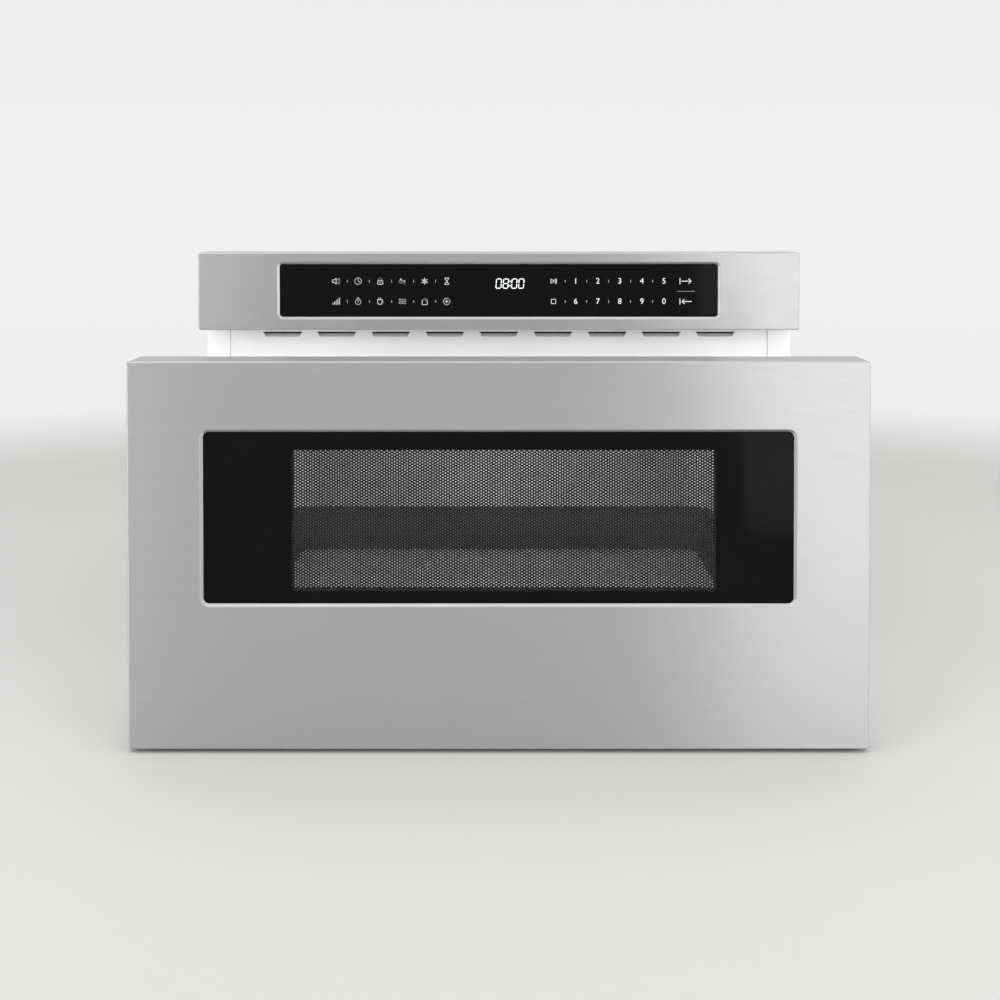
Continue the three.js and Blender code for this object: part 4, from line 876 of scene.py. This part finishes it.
def coverBeads():
    # the stiffening beads pressed into the cover's top and sides
    look = {
        "width": 14,
        "height": 1.6,
        "sink": 0.05,
        "topX": (-210, -105, 0, 105, 210),
        "topY": (-215, 225),
        "sideZ": (140, 215),
        "sideY": (-200, 215),
    }
    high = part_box("chassis_cover")[1]
    width, height, sink = look["width"] * mm, look["height"] * mm, look["sink"] * mm
    front, rear = look["topY"]
    lay = Matrix.Translation((0, 0, high.z - sink))
    parts = [moved(bead((x * mm, front * mm, 0), (x * mm, rear * mm, 0), width, height), lay)
             for x in look["topX"]]
    meshPiece("cover_top_beads", *joined(parts), "zinc_steel", "casing", smooth=60)
    front, rear = look["sideY"]
    for side, word in ((-1, "left"), (1, "right")):
        lay = (Matrix.Translation((side * (high.x - sink), 0, 0))
               @ Matrix.Rotation(side * math.pi / 2, 4, "Y"))
        rises = [-side * z * mm for z in look["sideZ"]]
        parts = [moved(bead((rise, front * mm, 0), (rise, rear * mm, 0), width, height), lay)
                 for rise in rises]
        meshPiece(f"{word}_cover_beads", *joined(parts), "zinc_steel", "casing", smooth=60)


def ringTurned(profile, sides):
    # a closed ring round Z from a loop of (radius, height) pairs
    count = len(profile)
    angles = [math.tau * side / sides for side in range(sides)]
    points = [(radius * math.cos(angle), radius * math.sin(angle), height)
              for angle in angles for radius, height in profile]
    faces = []
    for side in range(sides):
        low, high = side * count, (side + 1) % sides * count
        for k in range(count):
            after = (k + 1) % count
            faces.append([low + k, high + k, high + after, low + after])
    return points, faces


def cordGland():
    # moulded strain relief with its ribbed clamping nut, empty because the cord is left out
    look = {
        "ribs": 18,
        "rib": 0.5,
        "bore": 5.0,
        "mouth": 0.8,
        "neck": 8.0,
        "flange": 4.0,
        "chamfer": 1.2,
    }
    low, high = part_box("cord_gland")
    middle = (low + high) / 2
    radius = (high.x - low.x) / 2 / mm
    length = (high.y - low.y) / mm
    bore, neck, shoulder = look["bore"], look["neck"], length - look["flange"]
    inside = [(bore + look["mouth"], length), (bore, length - look["mouth"]), (bore, 0), (neck, 0),
              (neck, shoulder)]
    rim = [(radius, shoulder), (radius, length - look["chamfer"]), (radius - look["chamfer"], length)]
    profile = [(r * mm, h * mm) for r, h in inside + rim]
    points, faces = ringTurned(profile, look["ribs"] * 4)
    for index, (x, y, z) in enumerate(points):
        side, place = divmod(index, len(profile))
        if place >= len(inside) and side % 4 < 2:
            pull = Vector((x, y, 0)).normalized() * look["rib"] * mm
            points[index] = (x - pull.x, y - pull.y, z)
    lay = (Matrix.Translation((middle.x, low.y, middle.z))
           @ Matrix.Rotation(-math.pi / 2, 4, "X"))
    item = meshPiece("cord_gland_ribbed", *moved((points, faces), lay), "black_plastic", "casing",
                     smooth=35)
    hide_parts("cord_gland")


casingScrews()
drawerScrews()
coverBeads()
cordGland()
print("hardware done")


def studioLamps():
    lamps = {
        # name: place, aim, width, height, watts
        "key_right": ((1.0, -2.6, 0.75), (0.1, -0.5, 0.2), 1.1, 2.2, 15.5),
        "fill_left": ((-1.35, -2.5, 0.8), (-0.1, -0.5, 0.2), 0.7, 2.2, 15),
        "side_right": ((2.4, -2.3, 0.75), (0.0, -0.4, 0.3), 0.9, 0.9, 13),
        "side_left": ((-2.4, -2.3, 0.75), (0.0, -0.4, 0.3), 0.9, 0.9, 13),
        "top_soft": ((0.0, -0.4, 2.6), (0.0, -0.3, 0.2), 3.2, 3.2, 50),
        "front_high": ((-0.1, -2.7, 2.2), (0.0, -0.4, 0.3), 2.2, 0.8, 8),
        "rim_right": ((2.0, -0.75, 0.5), (0.0, -0.6, 0.2), 1.0, 1.0, 12),
        "rim_left": ((-2.0, -0.75, 0.5), (0.0, -0.6, 0.2), 1.0, 1.0, 11),
    }
    for name, (place, aim, width, height, watts) in lamps.items():
        lamp = bpy.data.lights.new(name, "AREA")
        lamp.shape = "RECTANGLE"
        lamp.size, lamp.size_y, lamp.energy = width, height, watts
        item = bpy.data.objects.new(name, lamp)
        item.location = place
        item.rotation_euler = (Vector(aim) - Vector(place)).to_track_quat("-Z", "Y").to_euler()
        bpy.context.scene.collection.objects.link(item)


def studioAir():
    # pale all round at eye level, a little dimmer overhead
    look = {"level": 0.88, "overhead": 0.64, "dimFrom": 0.5}
    world = bpy.data.worlds.new("studio_air")
    bpy.context.scene.world = world
    world.use_nodes = True
    tree = world.node_tree
    texture = addNode(tree, "ShaderNodeTexCoord")
    air = addNode(tree, "ShaderNodeSeparateXYZ", links={0: texture.outputs["Generated"]})
    rise = addNode(tree, "ShaderNodeMath", {"operation": "ABSOLUTE"}, {0: air.outputs["Z"]})
    sky = addNode(tree, "ShaderNodeMapRange", {
        "interpolation_type": "SMOOTHSTEP", "From Max": look["dimFrom"],
        "To Min": look["level"], "To Max": look["overhead"]}, {"Value": rise.outputs[0]})
    background = tree.nodes["Background"]
    background.inputs["Color"].default_value = (1, 1, 1, 1)
    feed(tree, background, {"Strength": sky.outputs[0]})


def studioFloor():
    # matt painted floor that thins out into the air, so that no horizon shows
    look = {"dull": "#BABAB8", "bright": "#BEBEBC", "patches": 1.5, "clear": (0.9, 1.9), "reach": 7.0}
    material, tree, shader = newMaterial("floor_matt_painted", {"Roughness": 0.7})
    place = addNode(tree, "ShaderNodeTexCoord").outputs["Object"]
    patches = addNode(tree, "ShaderNodeTexNoise", {"Scale": look["patches"], "Detail": 2.0},
                      {"Vector": place})
    tone = addNode(tree, "ShaderNodeMix", {
        "data_type": "RGBA", 6: linear(look["dull"]), 7: linear(look["bright"])},
        {0: patches.outputs["Fac"]})
    feed(tree, shader, {"Base Color": tone.outputs[2]})
    away = addNode(tree, "ShaderNodeVectorMath", {"operation": "LENGTH"}, {0: place})
    thin = addNode(tree, "ShaderNodeMapRange", {
        "interpolation_type": "SMOOTHSTEP", "From Min": look["clear"][0],
        "From Max": look["clear"][1]}, {"Value": away.outputs["Value"]})
    air = addNode(tree, "ShaderNodeBsdfTransparent")
    both = addNode(tree, "ShaderNodeMixShader",
                   links={0: thin.outputs[0], 1: shader.outputs[0], 2: air.outputs[0]})
    feed(tree, tree.nodes["Material Output"], {"Surface": both.outputs[0]})
    reach = look["reach"]
    corners = [(-reach, -reach, 0), (reach, -reach, 0), (reach, reach, 0), (-reach, reach, 0)]
    mesh = bpy.data.meshes.new("studio_floor")
    mesh.from_pydata(corners, [], [[0, 1, 2, 3]])
    mesh.materials.append(material)
    floor = bpy.data.objects.new("studio_floor", mesh)
    bpy.context.scene.collection.objects.link(floor)


def ovenLamp():
    # the oven's own white light, spread from the middle of the cooking space's ceiling
    look = {"watts": 0.5, "colour": (1.0, 0.99, 0.97), "size": 160, "behindMiddle": 20, "below": 6}
    low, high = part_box("cavity_shell")
    lamp = bpy.data.lights.new("oven_light", "AREA")
    lamp.size = look["size"] * mm
    lamp.energy = look["watts"]
    lamp.color = look["colour"]
    item = bpy.data.objects.new("oven_light", lamp)
    item.location = (0.0, (low.y + high.y) / 2 + look["behindMiddle"] * mm,
                     high.z - look["below"] * mm)
    bpy.context.scene.collection.objects.link(item)
    item.parent = frame["bodies"]["casing"]


def photoCamera():
    # fitted to the corners and edges that the photograph shows
    look = {
        "place": (0.0012, -1.8694, 0.43907),
        "lens": 55.376,
        "sensor": 36,
        "tilt": 1.2633,
        "shift": -0.25,
        "nearest": 0.01,
    }
    camera = bpy.data.cameras.new("photo_camera")
    camera.sensor_width = look["sensor"]
    camera.lens = look["lens"]
    camera.shift_y = look["shift"]
    camera.clip_start = look["nearest"]
    item = bpy.data.objects.new("photo_camera", camera)
    item.location = look["place"]
    item.rotation_euler = (math.radians(90 - look["tilt"]), 0, 0)
    bpy.context.scene.collection.objects.link(item)
    bpy.context.scene.camera = item


bpy.context.scene.view_settings.view_transform = "Standard"
studioLamps()
studioAir()
studioFloor()
ovenLamp()
photoCamera()
print("studio and camera done")
